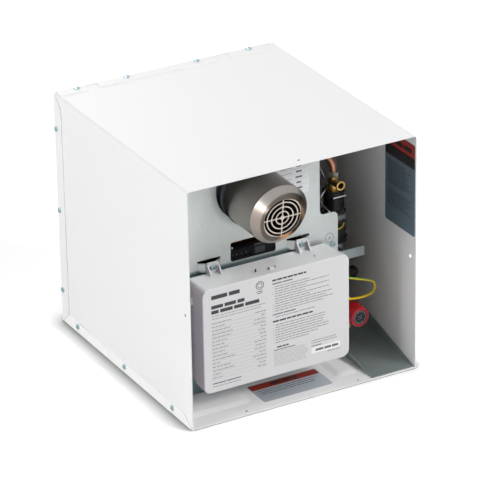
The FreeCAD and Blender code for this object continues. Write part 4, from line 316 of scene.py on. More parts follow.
def brushed_stainless(name, colour=(0.52, 0.5, 0.475), along="Y", heat=None):
    """Brushed stainless steel, its strokes long in one direction; the last argument paints heat
    tint and painted light and shade over its colour.
    """
    stretch = {"Y": (900, 12, 900), "X": (12, 900, 900), "all": (260, 260, 260)}[along]
    made = Finish(name, colour, Metallic=1.0)
    strokes = made.noise(1.0, stretch=stretch)
    clouds = made.noise(22.0)
    steel = made.tone(strokes * 0.6 + clouds * 0.4, 0.12)
    # heat tint and painted light and shade over the steel
    if heat:
        steel = heat(made, steel)
    made.set("Base Color", steel)
    made.set("Roughness", strokes * 0.12 + 0.24)
    return made.relief(strokes, strength=0.06, distance=0.02)


def pipe_top_shade(made, steel):
    """Painted shade: darker along the top of the pipe."""
    return made.mix(made.axis("Z").over(262.0, 30.0) * 0.42, steel, PIPE_SHADE_STEEL)


def flue_burn_and_painted_light(made, steel):
    """Brown burn round the mouth, widest at the lower right, gold at its foot and right edge:
    heat tint, partly painted shade and reflection; lighter on the left, a painted highlight.
    """
    x, z = made.axis("X") - MOUTH_X, made.axis("Z") - MOUTH_HEIGHT
    away = (x * x + z * z).root() + made.noise(60.0) * 1.5
    angle = z.bearing(x)
    # heat tint, partly painted shade and reflection
    burn_and_shade = away.under(MOUTH_EDGE, 1.4) * (angle.between(-2.0, 1.2, 0.8) * 0.3 + 0.67)
    gold_and_glint = angle.between(-1.8, -1.2, 0.35) * 0.95 + angle.between(-0.15, 0.55, 0.5) * 0.42
    # painted highlight: lighter steel on the cone's left side
    left = angle.size().over(2.4, 0.6) * 0.6
    steel = made.mix(left, steel, PAINTED_HIGHLIGHT_STEEL)
    return made.mix(burn_and_shade, steel, made.mix(gold_and_glint, BURN_AND_SHADE_BROWN, BURN_AND_GLINT_GOLD))


def moulded(name, colour, roughness, texture, specular=0.5, paint=None):
    """Moulded plastic: fine texture and slow changes of gloss; paint gives other colours."""
    made = Finish(name, colour, Specular_IOR_Level=specular)
    grain = made.noise(1600.0, detail=2.0)
    clouds = made.noise(40.0)
    made.set("Base Color", paint(made) if paint else made.tone(clouds, 0.03))
    made.set("Roughness", clouds * 0.12 + grain * 0.06 + (roughness - 0.09))
    return made.relief(grain, strength=texture, distance=0.03)


def box_painted_light_and_shade(made):
    """Painted light and shade on the control box: lighter on its top, darker and lilac on its
    left side.
    """
    # painted light on the top faces, painted shade on the left faces
    top, left = made.facing("Z").over(0.6, 0.4), made.facing("X").under(-0.6, 0.4)
    return made.mix(left, made.mix(top, made.colour, BOX_TOP_PAINTED_LIGHT), BOX_LEFT_PAINTED_SHADE)


def rubber(name, colour):
    """Matt rubber with a dusty bloom."""
    made = Finish(name, colour)
    bloom = made.noise(60.0, detail=5.0)
    made.set("Base Color", made.tone(bloom, 0.25))
    made.set("Roughness", bloom * 0.2 + 0.6)
    return made.relief(made.noise(700.0), strength=0.15, distance=0.04)


def drawn_copper(name, bare=(0.66, 0.34, 0.22), brown=(0.34, 0.17, 0.11)):
    """Drawn copper, brown where flame and flux have reached it."""
    made = Finish(name, bare, Metallic=1.0)
    stain = made.noise(55.0, detail=5.0)
    lines = made.noise(300.0, detail=2.0, stretch=(1, 1, 0.15))
    made.set("Base Color", made.mix(stain.over(0.52, 0.3), bare, brown))
    made.set("Roughness", stain * 0.2 + lines * 0.1 + 0.2)
    return made.relief(lines, strength=0.05, distance=0.02)


def turned_brass(name, paint=None):
    """Cast and turned brass with a brown skin in places; paint gives other colours."""
    made = Finish(name, BRIGHT_BRASS, Metallic=1.0)
    skin = made.noise(70.0, detail=4.0)
    rings = made.noise(1.0, detail=2.0, stretch=(80, 2400, 80))
    browned = made.mix(skin.over(0.5, 0.35), BRIGHT_BRASS, BROWN_BRASS)
    made.set("Base Color", paint(made) if paint else browned)
    made.set("Roughness", skin * 0.2 + 0.2)
    return made.relief(rings, strength=0.06, distance=0.02)


def bleed_turned_and_highlight(made):
    """The bleed tee is dark where it was cast and bright on its front faces: turned brass, partly
    a painted highlight.
    """
    return made.mix(made.facing("Y").under(-0.75, 0.3), CAST_BRASS, TURNED_BRASS_HIGHLIGHT)


def plated(name, colour, roughness=0.28):
    """Zinc or nickel plate: bright, with soft blotches."""
    made = Finish(name, colour, Metallic=1.0)
    blotch = made.noise(180.0)
    made.set("Base Color", made.tone(blotch, 0.1))
    made.set("Roughness", blotch * 0.14 + (roughness - 0.07))
    return made.relief(made.noise(900.0, detail=2.0), strength=0.05, distance=0.02)


def cast_metal(name, colour):
    """Die-cast aluminium: fine pitted skin."""
    made = Finish(name, colour, Metallic=0.9)
    skin = made.noise(500.0, detail=4.0)
    made.set("Base Color", made.tone(skin, 0.1))
    made.set("Roughness", skin * 0.2 + 0.34)
    return made.relief(skin, strength=0.25, distance=0.08)


def ceramic(name):
    """White glazed ceramic with faint specks."""
    made = Finish(name, (0.86, 0.84, 0.78))
    made.set("Base Color", made.tone(made.noise(400.0), 0.05))
    return made.set("Roughness", made.noise(90.0) * 0.15 + 0.12)


def printed(name, colour, roughness=0.4, metallic=0.0):
    """Printed film or ink: almost even, with a fine dot grain."""
    made = Finish(name, colour, Metallic=metallic)
    dots = made.noise(1300.0, detail=2.0)
    made.set("Base Color", made.tone(dots, 0.05))
    return made.set("Roughness", dots * 0.1 + (roughness - 0.05))


ROUTE_MAP = "route"
STRIPE_TWIST = 0.2       # turns in a decimetre
STRIPE_START = 0.5
STRIPE_EDGES = (0.2, 0.55)


def insulation(name, colour, stripe=None):
    """Wire insulation; a stripe winds slowly round it when one is given."""
    made = Finish(name, colour)
    shade = made.tone(made.noise(200.0), 0.06)
    if stripe:
        around = made.node("ShaderNodeUVMap", {"uv_map": ROUTE_MAP})
        u, v = made.part_of(around, "X"), made.part_of(around, "Y")
        turn = (u + v * STRIPE_TWIST + STRIPE_START).fraction()
        shade = made.mix(turn.between(*STRIPE_EDGES, 0.04), shade, stripe)
    made.set("Base Color", shade)
    return made.set("Roughness", made.noise(120.0) * 0.15 + 0.28)


white_coat = powder_coat("white_coat", (0.885, 0.885, 0.89))
# painted light: the base pan's coat is lighter than the case's white coat, the same paint
lit_pan_coat = powder_coat("lit_pan_coat", (0.96, 0.955, 0.955))
zinc = zinc_sheet("zinc", (0.73, 0.77, 0.76))
# painted shade on the panel and the rail; the panel's zinc is also a little darker all over,
# painted shade too
panel_zinc = zinc_sheet("panel_zinc", (0.7, 0.74, 0.73), painted_shade=panel_painted_shade)
rail_zinc = zinc_sheet("rail_zinc", (0.73, 0.77, 0.76), painted_shade=rail_painted_shade)
dull_zinc = zinc_sheet("dull_zinc", (0.5, 0.54, 0.54), dull=0.08)
# painted shade: the drain chute's zinc is a much darker copy of the zinc
shaded_chute_zinc = zinc_sheet("shaded_chute_zinc", (0.29, 0.34, 0.335), dull=0.08)
stainless_pipe = brushed_stainless("stainless_pipe", (0.4, 0.37, 0.345), heat=pipe_top_shade)
stainless_end = brushed_stainless("stainless_end", (0.33, 0.315, 0.295), "all", flue_burn_and_painted_light)
stainless_grille = plated("stainless_grille", (0.78, 0.7, 0.62), 0.34)
hidden_steel = brushed_stainless("hidden_steel", along="X")
black_rubber = rubber("black_rubber", (0.03, 0.03, 0.034))
seal_rubber = rubber("seal_rubber", (0.08, 0.1, 0.11))
# moulded plastics: colour, roughness, texture, specular level
black_plastic = moulded("black_plastic", (0.018, 0.019, 0.022), 0.38, 0.08, 0.4)
matt_plastic = moulded("matt_plastic", (0.008, 0.0085, 0.01), 0.6, 0.08, 0.12)
pale_plastic = moulded("pale_plastic", (0.83, 0.835, 0.86), 0.24, 0.03)
box_plastic = moulded("box_plastic", (0.745, 0.745, 0.755), 0.24, 0.03, paint=box_painted_light_and_shade)
grey_plastic = moulded("grey_plastic", (0.32, 0.34, 0.36), 0.3, 0.02)
red_plastic = moulded("red_plastic", (0.45, 0.007, 0.02), 0.22, 0.02, 0.4)
black_paint = powder_coat("black_paint", (0.05, 0.05, 0.055))
copper = drawn_copper("copper")
sooted_copper = drawn_copper("sooted_copper", (0.12, 0.06, 0.042), (0.05, 0.03, 0.022))
# bright copper: painted highlight on the shell's edge behind the window
lit_edge_copper = drawn_copper("lit_edge_copper", (0.85, 0.5, 0.34), (0.5, 0.28, 0.18))
module_grey = printed("module_grey", (0.028, 0.03, 0.033), 0.6)
brass = turned_brass("brass")
bleed_brass = turned_brass("bleed_brass", bleed_turned_and_highlight)
plate_edge = plated("plate_edge", (0.4, 0.45, 0.45), 0.3)
zinc_plate = plated("zinc_plate", (0.38, 0.5, 0.54), 0.2)
nickel_plate = plated("nickel_plate", (0.6, 0.58, 0.55))
bright_steel = plated("bright_steel", (0.68, 0.68, 0.7), 0.22)
cast_aluminium = cast_metal("cast_aluminium", (0.68, 0.69, 0.71))
glazed = ceramic("glazed")
solder_resist = printed("solder_resist", (0.03, 0.24, 0.12), 0.3)
dial_grey = moulded("dial_grey", (0.026, 0.028, 0.031), 0.6, 0.02, 0.15)
dial_mark = printed("dial_mark", (0.42, 0.43, 0.45))
ink_dark = printed("ink_dark", (0.045, 0.045, 0.05))
ink_mid = printed("ink_mid", (0.14, 0.14, 0.15))
ink_grey = printed("ink_grey", (0.28, 0.27, 0.28))
ink_pale = printed("ink_pale", (0.48, 0.48, 0.49))
plate_white = printed("plate_white", (0.93, 0.93, 0.93))
label_ink = printed("label_ink", (0.04, 0.048, 0.062))
label_white = printed("label_white", (0.82, 0.84, 0.86), 0.3)
label_slate = printed("label_slate", (0.165, 0.225, 0.275), 0.3, 0.2)
label_silver = printed("label_silver", (0.58, 0.62, 0.68), 0.3, 0.3)
label_black = printed("label_black", (0.02, 0.02, 0.025), 0.3)
label_orange = printed("label_orange", (0.34, 0.03, 0.014), 0.6)
earth_sleeve = insulation("earth_sleeve", (0.92, 0.67, 0.004), (0.14, 0.42, 0.06))
yellow_sleeve = insulation("yellow_sleeve", (0.9, 0.68, 0.02))
red_sleeve = insulation("red_sleeve", (0.55, 0.03, 0.04))

nodes_in = (
    (white_coat, "case_wrapper back_panel"),
    (lit_pan_coat, "base_pan"),
    (panel_zinc, "front_panel"),
    (rail_zinc, "support_rail"),
    (stainless_pipe, "flue_pipe"),
    (stainless_end, "flue_cone"),
    (stainless_grille, "flue_grille"),
    (seal_rubber, "flue_seal"),
    (zinc, "flue_collector fan_housing fan_impeller"),
    (sooted_copper, "heat_exchanger_shell"),
    (copper, "heat_exchanger_core copper_gooseneck cold_inlet_pipe hot_outlet_pipe"),
    (dull_zinc, "burner_box chamber_stand"),
    (hidden_steel, "burner_bars"),
    (cast_aluminium, "gas_manifold gas_valve_body gas_tube"),
    (bright_steel, "fan_shaft safety_plunger main_plunger overheat_thermostat valve_clip "
                   "relief_spring"),
    (black_paint, "fan_motor"),
    (black_plastic, "solenoid_coils flow_sensor_housing water_valve_body filter_cap "
                    "board_components cable_gland"),
    (brass, "gas_inlet_fitting manifold_tee riser_pipe cold_inlet_fitting hot_outlet_fitting "
            "relief_valve_body relief_spindle"),
    (matt_plastic, "ignition_module"),
    (glazed, "spark_electrodes"),
    (nickel_plate, "union_nuts"),
    (pale_plastic, "flow_turbine"),
    (grey_plastic, "strainer_bowl"),
    (bleed_brass, "bleed_tee"),
    (red_plastic, "relief_valve_knob"),
    (dial_grey, "knob_disc"),
    (shaded_chute_zinc, "drain_chute"),
    (box_plastic, "control_box_tray control_box_lid"),
    (solder_resist, "circuit_board"),
)
for finish, names in nodes_in:
    for node in names.split():
        nodes[node].data.materials.clear()
        nodes[node].data.materials.append(finish.material)


# ================================================================ surfaces
SHARPEST_SMOOTH = math.radians(35)
DOUBLES_WITHIN = 1e-7
SUNK = 0.02              # print and films reach this far into what carries them
BOX_CORNERS_X = [0, 1, 1, 0, 0, 1, 1, 0]
BOX_CORNERS_Y = [2, 2, 3, 3, 2, 2, 3, 3]
BOX_FACES = np.array([[0, 3, 2, 1], [4, 5, 6, 7], [0, 1, 5, 4], [1, 2, 6, 5], [2, 3, 7, 6],
                      [3, 0, 4, 7]])
CORNER_STEPS = 48
WIRE_STEPS = 12


def quads(rows, columns):
    """Faces of a grid of rows x columns vertices."""
    corner = (np.arange(rows - 1)[:, None] * columns + np.arange(columns - 1)[None, :]).ravel()
    return np.stack([corner, corner + 1, corner + columns + 1, corner + columns], 1)


def make_piece(name, groups, body="case", smooth=True):
    """Piece made of (vertices, faces, finish) groups; it rides on the body that is named."""
    points, faces, marks, finishes = [], [], [], []
    count = 0
    for vertices, group_faces, finish in groups:
        if finish not in finishes:
            finishes.append(finish)
        points.append(vertices)
        faces += (np.asarray(group_faces) + count).tolist()
        marks += [finishes.index(finish)] * len(group_faces)
        count += len(vertices)
    mesh = bpy.data.meshes.new(name)
    mesh.from_pydata(np.concatenate(points).tolist(), [], faces)
    mesh.polygons.foreach_set("material_index", marks)
    for finish in finishes:
        mesh.materials.append(finish.material)
    tidy_mesh(mesh)
    mesh.polygons.foreach_set("use_smooth", [smooth] * len(mesh.polygons))
    if smooth:
        mesh.set_sharp_from_angle(angle=SHARPEST_SMOOTH)
    made = bpy.data.objects.new(name, mesh)
    bpy.context.scene.collection.objects.link(made)
    if body:
        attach(made, body)
    return made


def tidy_mesh(mesh):
    """Merge doubles and turn every face outwards."""
    work = bmesh.new()
    work.from_mesh(mesh)
    bmesh.ops.remove_doubles(work, verts=work.verts, dist=DOUBLES_WITHIN)
    bmesh.ops.recalc_face_normals(work, faces=work.faces)
    work.to_mesh(mesh)
    work.free()


class Plane:
    """A flat face to print on: origin, two directions in the face and the way out of it."""

    def __init__(self, origin, right, up):
        self.origin = np.array(origin)
        self.right = np.array(right, float)
        self.up = np.array(up, float)
        self.out = np.cross(self.right, self.up)

    def points(self, across, height, lift):
        """Places from millimetres across, up and out of the face."""
        across, height, lift = np.broadcast_arrays(across, height, lift)
        shift = (across[..., None] * self.right + height[..., None] * self.up
                 + lift[..., None] * self.out)
        return self.origin + shift * MM


def bars(plane, rectangles, lift, finish):
    """Thin bars of ink or film: one flat box for each (x0, x1, y0, y1) row."""
    box = np.array(rectangles, float)
    out = np.repeat([-SUNK, lift], 4)
    vertices = plane.points(box[:, BOX_CORNERS_X], box[:, BOX_CORNERS_Y], out).reshape(-1, 3)
    faces = (np.arange(len(box))[:, None, None] * 8 + BOX_FACES).reshape(-1, 4)
    return vertices, faces, finish


def film(plane, x0, x1, y0, y1, radius, lift, finish, low=0.0):
    """Film with round corners, closed at its foot and top.

    At angle a its outline is the nearest corner's centre plus the corner radius
    times (cos a, sin a); the foot and the top each close in one middle point.
    """
    angle = np.linspace(0, FULL_TURN, CORNER_STEPS + 1)
    middle = np.array([(x0 + x1) / 2, (y0 + y1) / 2])
    half = np.array([(x1 - x0) / 2 - radius, (y1 - y0) / 2 - radius])
    turn = np.stack([np.cos(angle), np.sin(angle)], 1)
    outline = middle + np.sign(np.round(turn, 9)) * half + turn * radius
    centre = np.broadcast_to(middle, outline.shape)
    foot = low - SUNK
    stack = [(centre, foot), (outline, foot), (outline, lift), (centre, lift)]
    vertices = np.concatenate([plane.points(row[:, 0], row[:, 1], height)
                               for row, height in stack])
    return vertices, quads(len(stack), len(angle)), finish


def lathe(profile, origin, direction, finish, segments=40, ripple=None):
    """Surface of revolution: radius and height of a profile carried round an axis.

    ripple(radius, angle, height) adds to the height, so that a head carries a recess.
    """
    direction = np.array(direction, float)
    side = np.array([1.0, 0, 0]) if abs(direction[0]) < 0.5 else np.array([0, 0, 1.0])
    across = np.cross(direction, side)
    angle = np.linspace(0, FULL_TURN, segments + 1)
    radius, height = np.array(profile, float).T
    radius = radius[:, None] * np.ones_like(angle)
    height = height[:, None] * np.ones_like(angle)
    if ripple is not None:
        height = height + ripple(radius, angle[None, :], height)
    vertices = (np.array(origin) + MM * (
        (radius * np.cos(angle))[..., None] * side + (radius * np.sin(angle))[..., None] * across
        + height[..., None] * direction)).reshape(-1, 3)
    return vertices, quads(len(profile), segments + 1), finish


def ring(radius, thickness, origin, direction, finish, segments=48):
    """Torus: a small circle carried round an axis."""
    angle = np.linspace(0, FULL_TURN, WIRE_STEPS + 1)
    profile = np.stack([radius + thickness * np.cos(angle), thickness * np.sin(angle)], 1)
    return lathe(profile, origin, direction, finish, segments)


# ================================================================ screws
SCREW_HEAD = 3.6
SCREW_RISE = 2.2
SCREW_SHANK = 1.9
CROWN_REACH = 0.8         # the crown's radius over the head's
CROWN_DROP = 0.32
CROWN_STEPS = 14
CROSS_REACH = 1.9
CROSS_REACH_SLOPE = 0.9
CROSS_WIDTH = 0.42
CROSS_WALL = 0.24
CROSS_DEPTH = 1.1
SCREW_LENGTH = 2.6
EAR_SCREW_LENGTH = 10.0


def cross_recess(radius, angle, height):
    """Two crossing grooves, deepest in the middle, only in the top of the head."""
    u, v = radius * np.cos(angle), radius * np.sin(angle)
    narrow = np.minimum(np.abs(u), np.abs(v))
    wide = np.maximum(np.abs(u), np.abs(v))
    wall = np.clip((CROSS_WIDTH + CROSS_WALL / 2 - narrow) / CROSS_WALL, 0, 1)
    reach = np.clip((CROSS_REACH - wide) / CROSS_REACH_SLOPE, 0, 1)
    return np.where(height > SCREW_RISE * 0.6, -CROSS_DEPTH * wall * reach, 0.0)


def screw_surface(seat, direction, length, finish):
    """Pan head with a cross recess, its underside and its shank."""
    share = np.linspace(0, 1, CROWN_STEPS + 1)
    crown = [(SCREW_HEAD * CROWN_REACH * s, SCREW_RISE - CROWN_DROP * s * s) for s in share]
    rim = [(SCREW_HEAD * 0.93, SCREW_RISE * 0.72), (SCREW_HEAD, SCREW_RISE * 0.4),
           (SCREW_HEAD, 0)]
    shank = [(SCREW_SHANK, 0), (SCREW_SHANK, -length), (0, -length)]
    return lathe(crown + rim + shank, seat, direction, finish, 32, cross_recess)


def case_screw_seats():
    """Seats of the sheet-metal screws: three up each side, three along each foot, four on top."""
    outside = CASE_HALF + SHEET
    top = CASE_HEIGHT + SHEET
    rear = CASE_DEPTH - 5.0
    foot = 9.5
    seats = []
    for side in (-1, 1):
        way = (side, 0, 0)
        seats += [(at(side * outside, rear, height), way) for height in (46.0, 159.5, 273.0)]
        seats += [(at(side * outside, depth, foot), way) for depth in (49.0, 176.0, 305.0)]
    seats += [(at(from_left - CASE_HALF, rear, top), UPWARD)
              for from_left in (30.0, 101.0, 202.0, 279.0)]
    return seats


def panel_screw_seats():
    """Ear, rail, earth and foot screws with their shank lengths."""
    ear_depth, ear_height, rail_height = 66.0, 176.7, 140.55
    earth_x, earth_height = 83.7, 161.3
    foot_depth, foot_height = 82.2, 4.6
    seats = [(at(x, ear_depth, ear_height), FRONTWARD, EAR_SCREW_LENGTH) for x in (-90.9, 34.9)]
    seats += [(at(x, PANEL_DEPTH, rail_height), FRONTWARD, SCREW_LENGTH) for x in (3.0, 53.0)]
    seats += [(at(earth_x, PANEL_DEPTH, earth_height), FRONTWARD, SCREW_LENGTH)]
    seats += [(at(x, foot_depth, foot_height), UPWARD, SCREW_LENGTH)
              for x in (-130.0, -85.0, 74.0)]
    return seats


outer_screws = make_piece(
    "sheet_screws", [screw_surface(seat, way, SCREW_LENGTH, zinc_plate)
                     for seat, way in case_screw_seats()])
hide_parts("case_screws")
inner_screws = make_piece(
    "machine_screws", [screw_surface(seat, way, length, zinc_plate)
                       for seat, way, length in panel_screw_seats()])
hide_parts("panel_screws")


# ================================================================ print and labels
WORD_GAP = 0.9
INK = 0.05               # rise of the ink on the control box
LABEL_FILM = 0.15
LABEL_BAND = 0.18
TABLE_PITCH = 4.97
UPPER_PITCH = 3.34
LOWER_PITCH = 3.45
STICKER_PITCH = 7.4
TICK_RADIUS = 7.3
MODULE_FRONT = 76.9
SHELL_FRONT = 77.6


def text_rows(left, right, top, pitch, height, count, seed, ragged=0.25):
    """Rows of short bars standing for lines of small print, with a ragged right edge."""
    draw = np.random.default_rng(seed)
    rows = []
    for row in range(count):
        start = left
        end = right - (right - left) * ragged * draw.random()
        level = top - row * pitch
        while start < end - 1.0:
            width = min(2.0 + 6.0 * draw.random(), end - start)
            rows.append((start, start + width, level - height, level))
            start += width + WORD_GAP
    return rows


def word_blocks(left, right, low, high, seed):
    """A title as one plain bar for each word."""
    draw = np.random.default_rng(seed)
    tall = high - low
    blocks = []
    start = left
    while start < right - tall:
        width = min(tall * (2.2 + 2.2 * draw.random()), right - start)
        blocks.append((start, start + width, low, high))
        start += width + tall * 0.45
    return blocks


def table_rows(left, right, top, pitch, height, count, seed):
    """Table rows: a short entry on the left and another that ends at the right edge."""
    draw = np.random.default_rng(seed)
    rows = []
    for row in range(count):
        level = top - row * pitch
        width = 9.0 + 26.0 * draw.random()
        value = 6.0 + 14.0 * draw.random()
        for start, end in ((left, left + width), (right - value, right)):
            while start < end - 0.8:
                word = min(2.5 + 4.0 * draw.random(), end - start)
                rows.append((start, start + word, level - height, level))
                start += word + WORD_GAP
    return rows


def all_rows(maker, *blocks):
    """The rows of several blocks of print, each given as its maker's values."""
    return [bar for block in blocks for bar in maker(*block)]


def box_print():
    """Plain ruled print on the control box: titles, a table and blocks of small rows.

    It is set out from the lid's upper left corner, to the right and, below zero, down.
    """
    face = Plane(at(LID_LEFT, LID_FRONT, LID_TOP), RIGHTWARD, UPWARD)
    # left, right, low, high, seed
    titles = all_rows(word_blocks,
                      (12.3, 58.0, -14.4, -9.2, 51), (12.1, 58.3, -27.2, -22.6, 52),
                      (12.0, 80.3, -34.0, -29.4, 53), (97.5, 145.5, -10.9, -8.7, 54),
                      (97.6, 154.4, -67.3, -65.1, 55), (103.0, 119.5, -103.4, -101.5, 56))
    plate_words = word_blocks(158.0, 190.4, -122.4, -119.4, 57)
    # left, right, low, high
    strong = [(97.6, 111, -15.4, -13.9), (112, 126, -15.4, -13.9), (97.7, 112, -57.5, -56.0),
              (113, 130, -57.5, -56.0), (12, 30, -130.0, -128.6), (31, 52, -130.0, -128.6),
              (152.2, 166.7, -115.0, -113.9), (98.5, 129, -106.7, -105.6)]
    # left, right, top, pitch, height, count, seed, ragged
    small = all_rows(text_rows,
                     (12.7, 88, -36.9, 3.6, 0.85, 2, 3, 0.1),
                     (12, 53, -132.9, 3.0, 0.9, 1, 19, 0.1),
                     (101, 189, -18.4, UPPER_PITCH, 1.05, 11, 5, 0.55),
                     (101, 161, -60.0, UPPER_PITCH, 1.05, 1, 7, 0.1),
                     (101, 178, -71.0, LOWER_PITCH, 1.05, 8, 11, 0.5),
                     (152, 193, -106.6, 3.2, 1.0, 2, 17, 0.1),
                     (175, 193.5, -126.5, 3.0, 1.0, 1, 18, 0.05))
    small += table_rows(12.4, 88, -46.4, TABLE_PITCH, 1.1, 16, 23)
    fine = text_rows(98.5, 147.5, -108.4, 2.1, 0.8, 10, 13, 0.1)
    dots = [(97.8, 98.7, -19.4 - UPPER_PITCH * row, -18.5 - UPPER_PITCH * row)
            for row in (0, 2, 3, 5, 7, 8, 9, 10)]
    dots += [(98.2, 99.1, -72.0 - LOWER_PITCH * row, -71.1 - LOWER_PITCH * row)
             for row in (0, 1, 2, 3, 4, 5, 7)]
    rules = [(12.2, 88, -49.55 - TABLE_PITCH * row, -49.2 - TABLE_PITCH * row)
             for row in range(16)]
    make_piece("box_print", [bars(face, rows, INK, ink) for rows, ink in (
        (titles, ink_dark), (strong + plate_words, ink_mid), (small + dots, ink_grey),
        (fine, ink_pale), (rules, ink_pale))], smooth=False)
    mark = at(LID_LEFT + 80.1, LID_FRONT, LID_TOP - 11.5)
    underlines = [(75.4, 84.2, -20.4, -19.0), (76.4, 83.2, -22.6, -21.4)]
    make_piece("box_mark", [ring(5.2, 0.45, mark, FRONTWARD, ink_mid),
                            ring(3.0, 0.35, mark, FRONTWARD, ink_mid),
                            bars(face, underlines, INK, ink_grey)])
    make_piece("box_plate", [film(face, 152.1, 193.5, -125.0, -116.6, 0.6, 0.04, plate_white)],
               smooth=False)


def floor_label():
    """Foil on the floor in front of the box: an orange band along its back, grey print."""
    face = Plane(at(-50.0, 16.0, SHEET), RIGHTWARD, BACKWARD)
    groups = [film(face, 0, 99, 0, 46.5, 3.0, LABEL_FILM, label_silver),
              film(face, 1.2, 97.8, 32.5, 45.3, 2.0, LABEL_BAND, label_orange, LABEL_FILM),
              bars(face, word_blocks(30, 70, 36.4, 41.6, 58), 0.2, label_black),
              bars(face, text_rows(7, 92, 28.5, 4.6, 1.2, 3, 29, 0.15), 0.19, label_ink)]
    make_piece("floor_label", groups, smooth=False)


def wall_label():
    """Foil on the right wall: orange and black bands above a slate field of small print."""
    face = Plane(at(WALL_INSIDE, 72.0, 181.0), FRONTWARD, UPWARD)
    rows = all_rows(text_rows, (6, 64, 84.0, 3.3, 1.1, 10, 31, 0.3),
                    (6, 64, 44.0, 3.3, 1.1, 7, 32, 0.3))
    groups = [film(face, 0, 70, 0, 124, 3.0, LABEL_FILM, label_slate),
              film(face, 0.8, 69.2, 91, 105.5, 1.0, LABEL_BAND, label_black, LABEL_FILM),
              film(face, 0.8, 69.2, 105.5, 123.2, 1.0, LABEL_BAND, label_orange, LABEL_FILM),
              bars(face, word_blocks(20, 62, 110.5, 116.5, 59), 0.2, label_black),
              bars(face, rows, 0.19, label_ink),
              bars(face, text_rows(6, 60, 101.0, 4.6, 1.3, 2, 37, 0.2), 0.2, label_ink)]
    make_piece("wall_label", groups, smooth=False)


def panel_label():
    """White sticker on the panel, partly behind the flue, ruled as a table."""
    face = Plane(at(-10.0, PANEL_DEPTH, 242.0), RIGHTWARD, UPWARD)
    draw = np.random.default_rng(41)
    figures, faint = [], []
    for row in range(6):
        level = 7.0 + row * STICKER_PITCH
        wide = 6.0 + 4.0 * draw.random()
        figures.append((46 - wide / 2, 46 + wide / 2, level, level + 2.4))
        faint.append((20, 34 + 6 * draw.random(), level, level + 1.2))
    rules = [(2, 58.5, 4.6 + STICKER_PITCH * row, 4.9 + STICKER_PITCH * row) for row in range(8)]
    groups = [film(face, 0, 60.5, 0, 68, 3.0, 0.12, label_white),
              bars(face, rules + faint, 0.15, ink_pale), bars(face, figures, 0.16, ink_mid)]
    make_piece("panel_label", groups, smooth=False)


def earth_mark():
    """Round earth plate pressed into the panel beside its screw."""
    middle = at(79.2, PANEL_DEPTH, 171.3)
    symbol = [(-2.4, 2.4, -0.6, -0.1), (-1.6, 1.6, -1.7, -1.2), (-0.8, 0.8, -2.8, -2.3),
              (-0.25, 0.25, -0.4, 3.0)]
    make_piece("earth_mark", [ring(6.0, 0.5, middle, FRONTWARD, plate_edge),
                              bars(Plane(middle, RIGHTWARD, UPWARD), symbol, 0.12, ink_grey)])


def knob_marks():
    """Marks on the relief knob's disc: a ring, ticks inside it and short bars."""
    middle = at(WATER_X, DISC_DEPTH, FITTING_HEIGHT)
    tick, lift = [(-0.5, 0.5, -0.3, 0.3)], 0.06
    groups = []
    for angle in np.radians(np.arange(0, 360, 30)):
        outwards = np.array([math.cos(angle), 0, math.sin(angle)])
        onwards = (-math.sin(angle), 0, math.cos(angle))
        place = middle + outwards * TICK_RADIUS * MM
        groups.append(bars(Plane(place, outwards, onwards), tick, lift, dial_mark))
    hand = [(-2.6, -1.4, 1.4, 2.0), (1.0, 2.4, 1.6, 2.2), (-0.5, 0.6, -0.4, 0.4),
            (-2.6, -1.4, -2.5, -1.9), (1.2, 2.2, -2.2, -1.6)]
    groups.append(bars(Plane(middle, RIGHTWARD, UPWARD), hand, lift, dial_mark))
    groups.append(ring(8.3, 0.2, middle, FRONTWARD, dial_mark))
    make_piece("knob_marks", groups, body="relief_knob")


def window_details():
    """Behind the panel's window: vents and screw of the module, and bright copper strips at the
    shell's edge, a painted highlight.
    """
    module = Plane(at(0, MODULE_FRONT, 0), RIGHTWARD, UPWARD)
    shell = Plane(at(0, SHELL_FRONT, 0), RIGHTWARD, UPWARD)
    vents = [(x, x + 2.2, 178.7, 180.9) for x in (-58.6, -53.0, -46.2, -39.6)]
    plate = [(-27.0, -9.0, 175.0, 188.5)]
    # bright copper strips: painted highlight on the shell's edge
    lit_rims = [(-58.0, -44.0, 197.2, 198.1), (-34.0, -25.5, 197.6, 198.9)]
    screw_head = [(0, 0.7), (1.1, 0.6), (1.5, 0), (0, 0)]
    make_piece("window_details",
               [bars(module, vents, 0.1, module_grey), bars(shell, lit_rims, 0.3, lit_edge_copper),
                bars(module, plate, 0.12, module_grey),
                lathe(screw_head, at(-58.4, MODULE_FRONT, 190.2), FRONTWARD, bright_steel, 16)],
               smooth=False)


def lid_catches():
    """Catches on the box's top: two nibs, and a pale hook between two dark ends; the black nib
    and the dark ends are painted shade in slots.
    """
    face = Plane(at(0, 0, LID_TOP), RIGHTWARD, BACKWARD)
    # dark hook ends and the black nib: painted shade in the catches' slots
    hook_end_shade = [(-30.6, -29.4, 34.6, 36.2), (-22.4, -21.4, 34.6, 36.2)]
    make_piece("lid_catches", [bars(face, [(-48.5, -47.2, 37.0, 38.4)], 3.4, matt_plastic),
                               bars(face, [(-29.4, -22.4, 34.4, 36.4)], 1.6, plate_white),
                               bars(face, hook_end_shade, 1.5, matt_plastic),
                               bars(face, [(34.7, 35.5, 34.6, 35.8)], 2.2, ink_pale)],
               smooth=False)


box_print()
floor_label()
wall_label()
panel_label()
earth_mark()
knob_marks()
window_details()
lid_catches()


# ================================================================ water column and fittings
GASKET_HEIGHT = 186.4
SPRING_FRONT, SPRING_BACK = 65.0, 92.6
SPRING_RADIUS = 4.6
SPRING_WIRE = 0.8
SPRING_TURNS = 5
STEPS_IN_TURN = 32


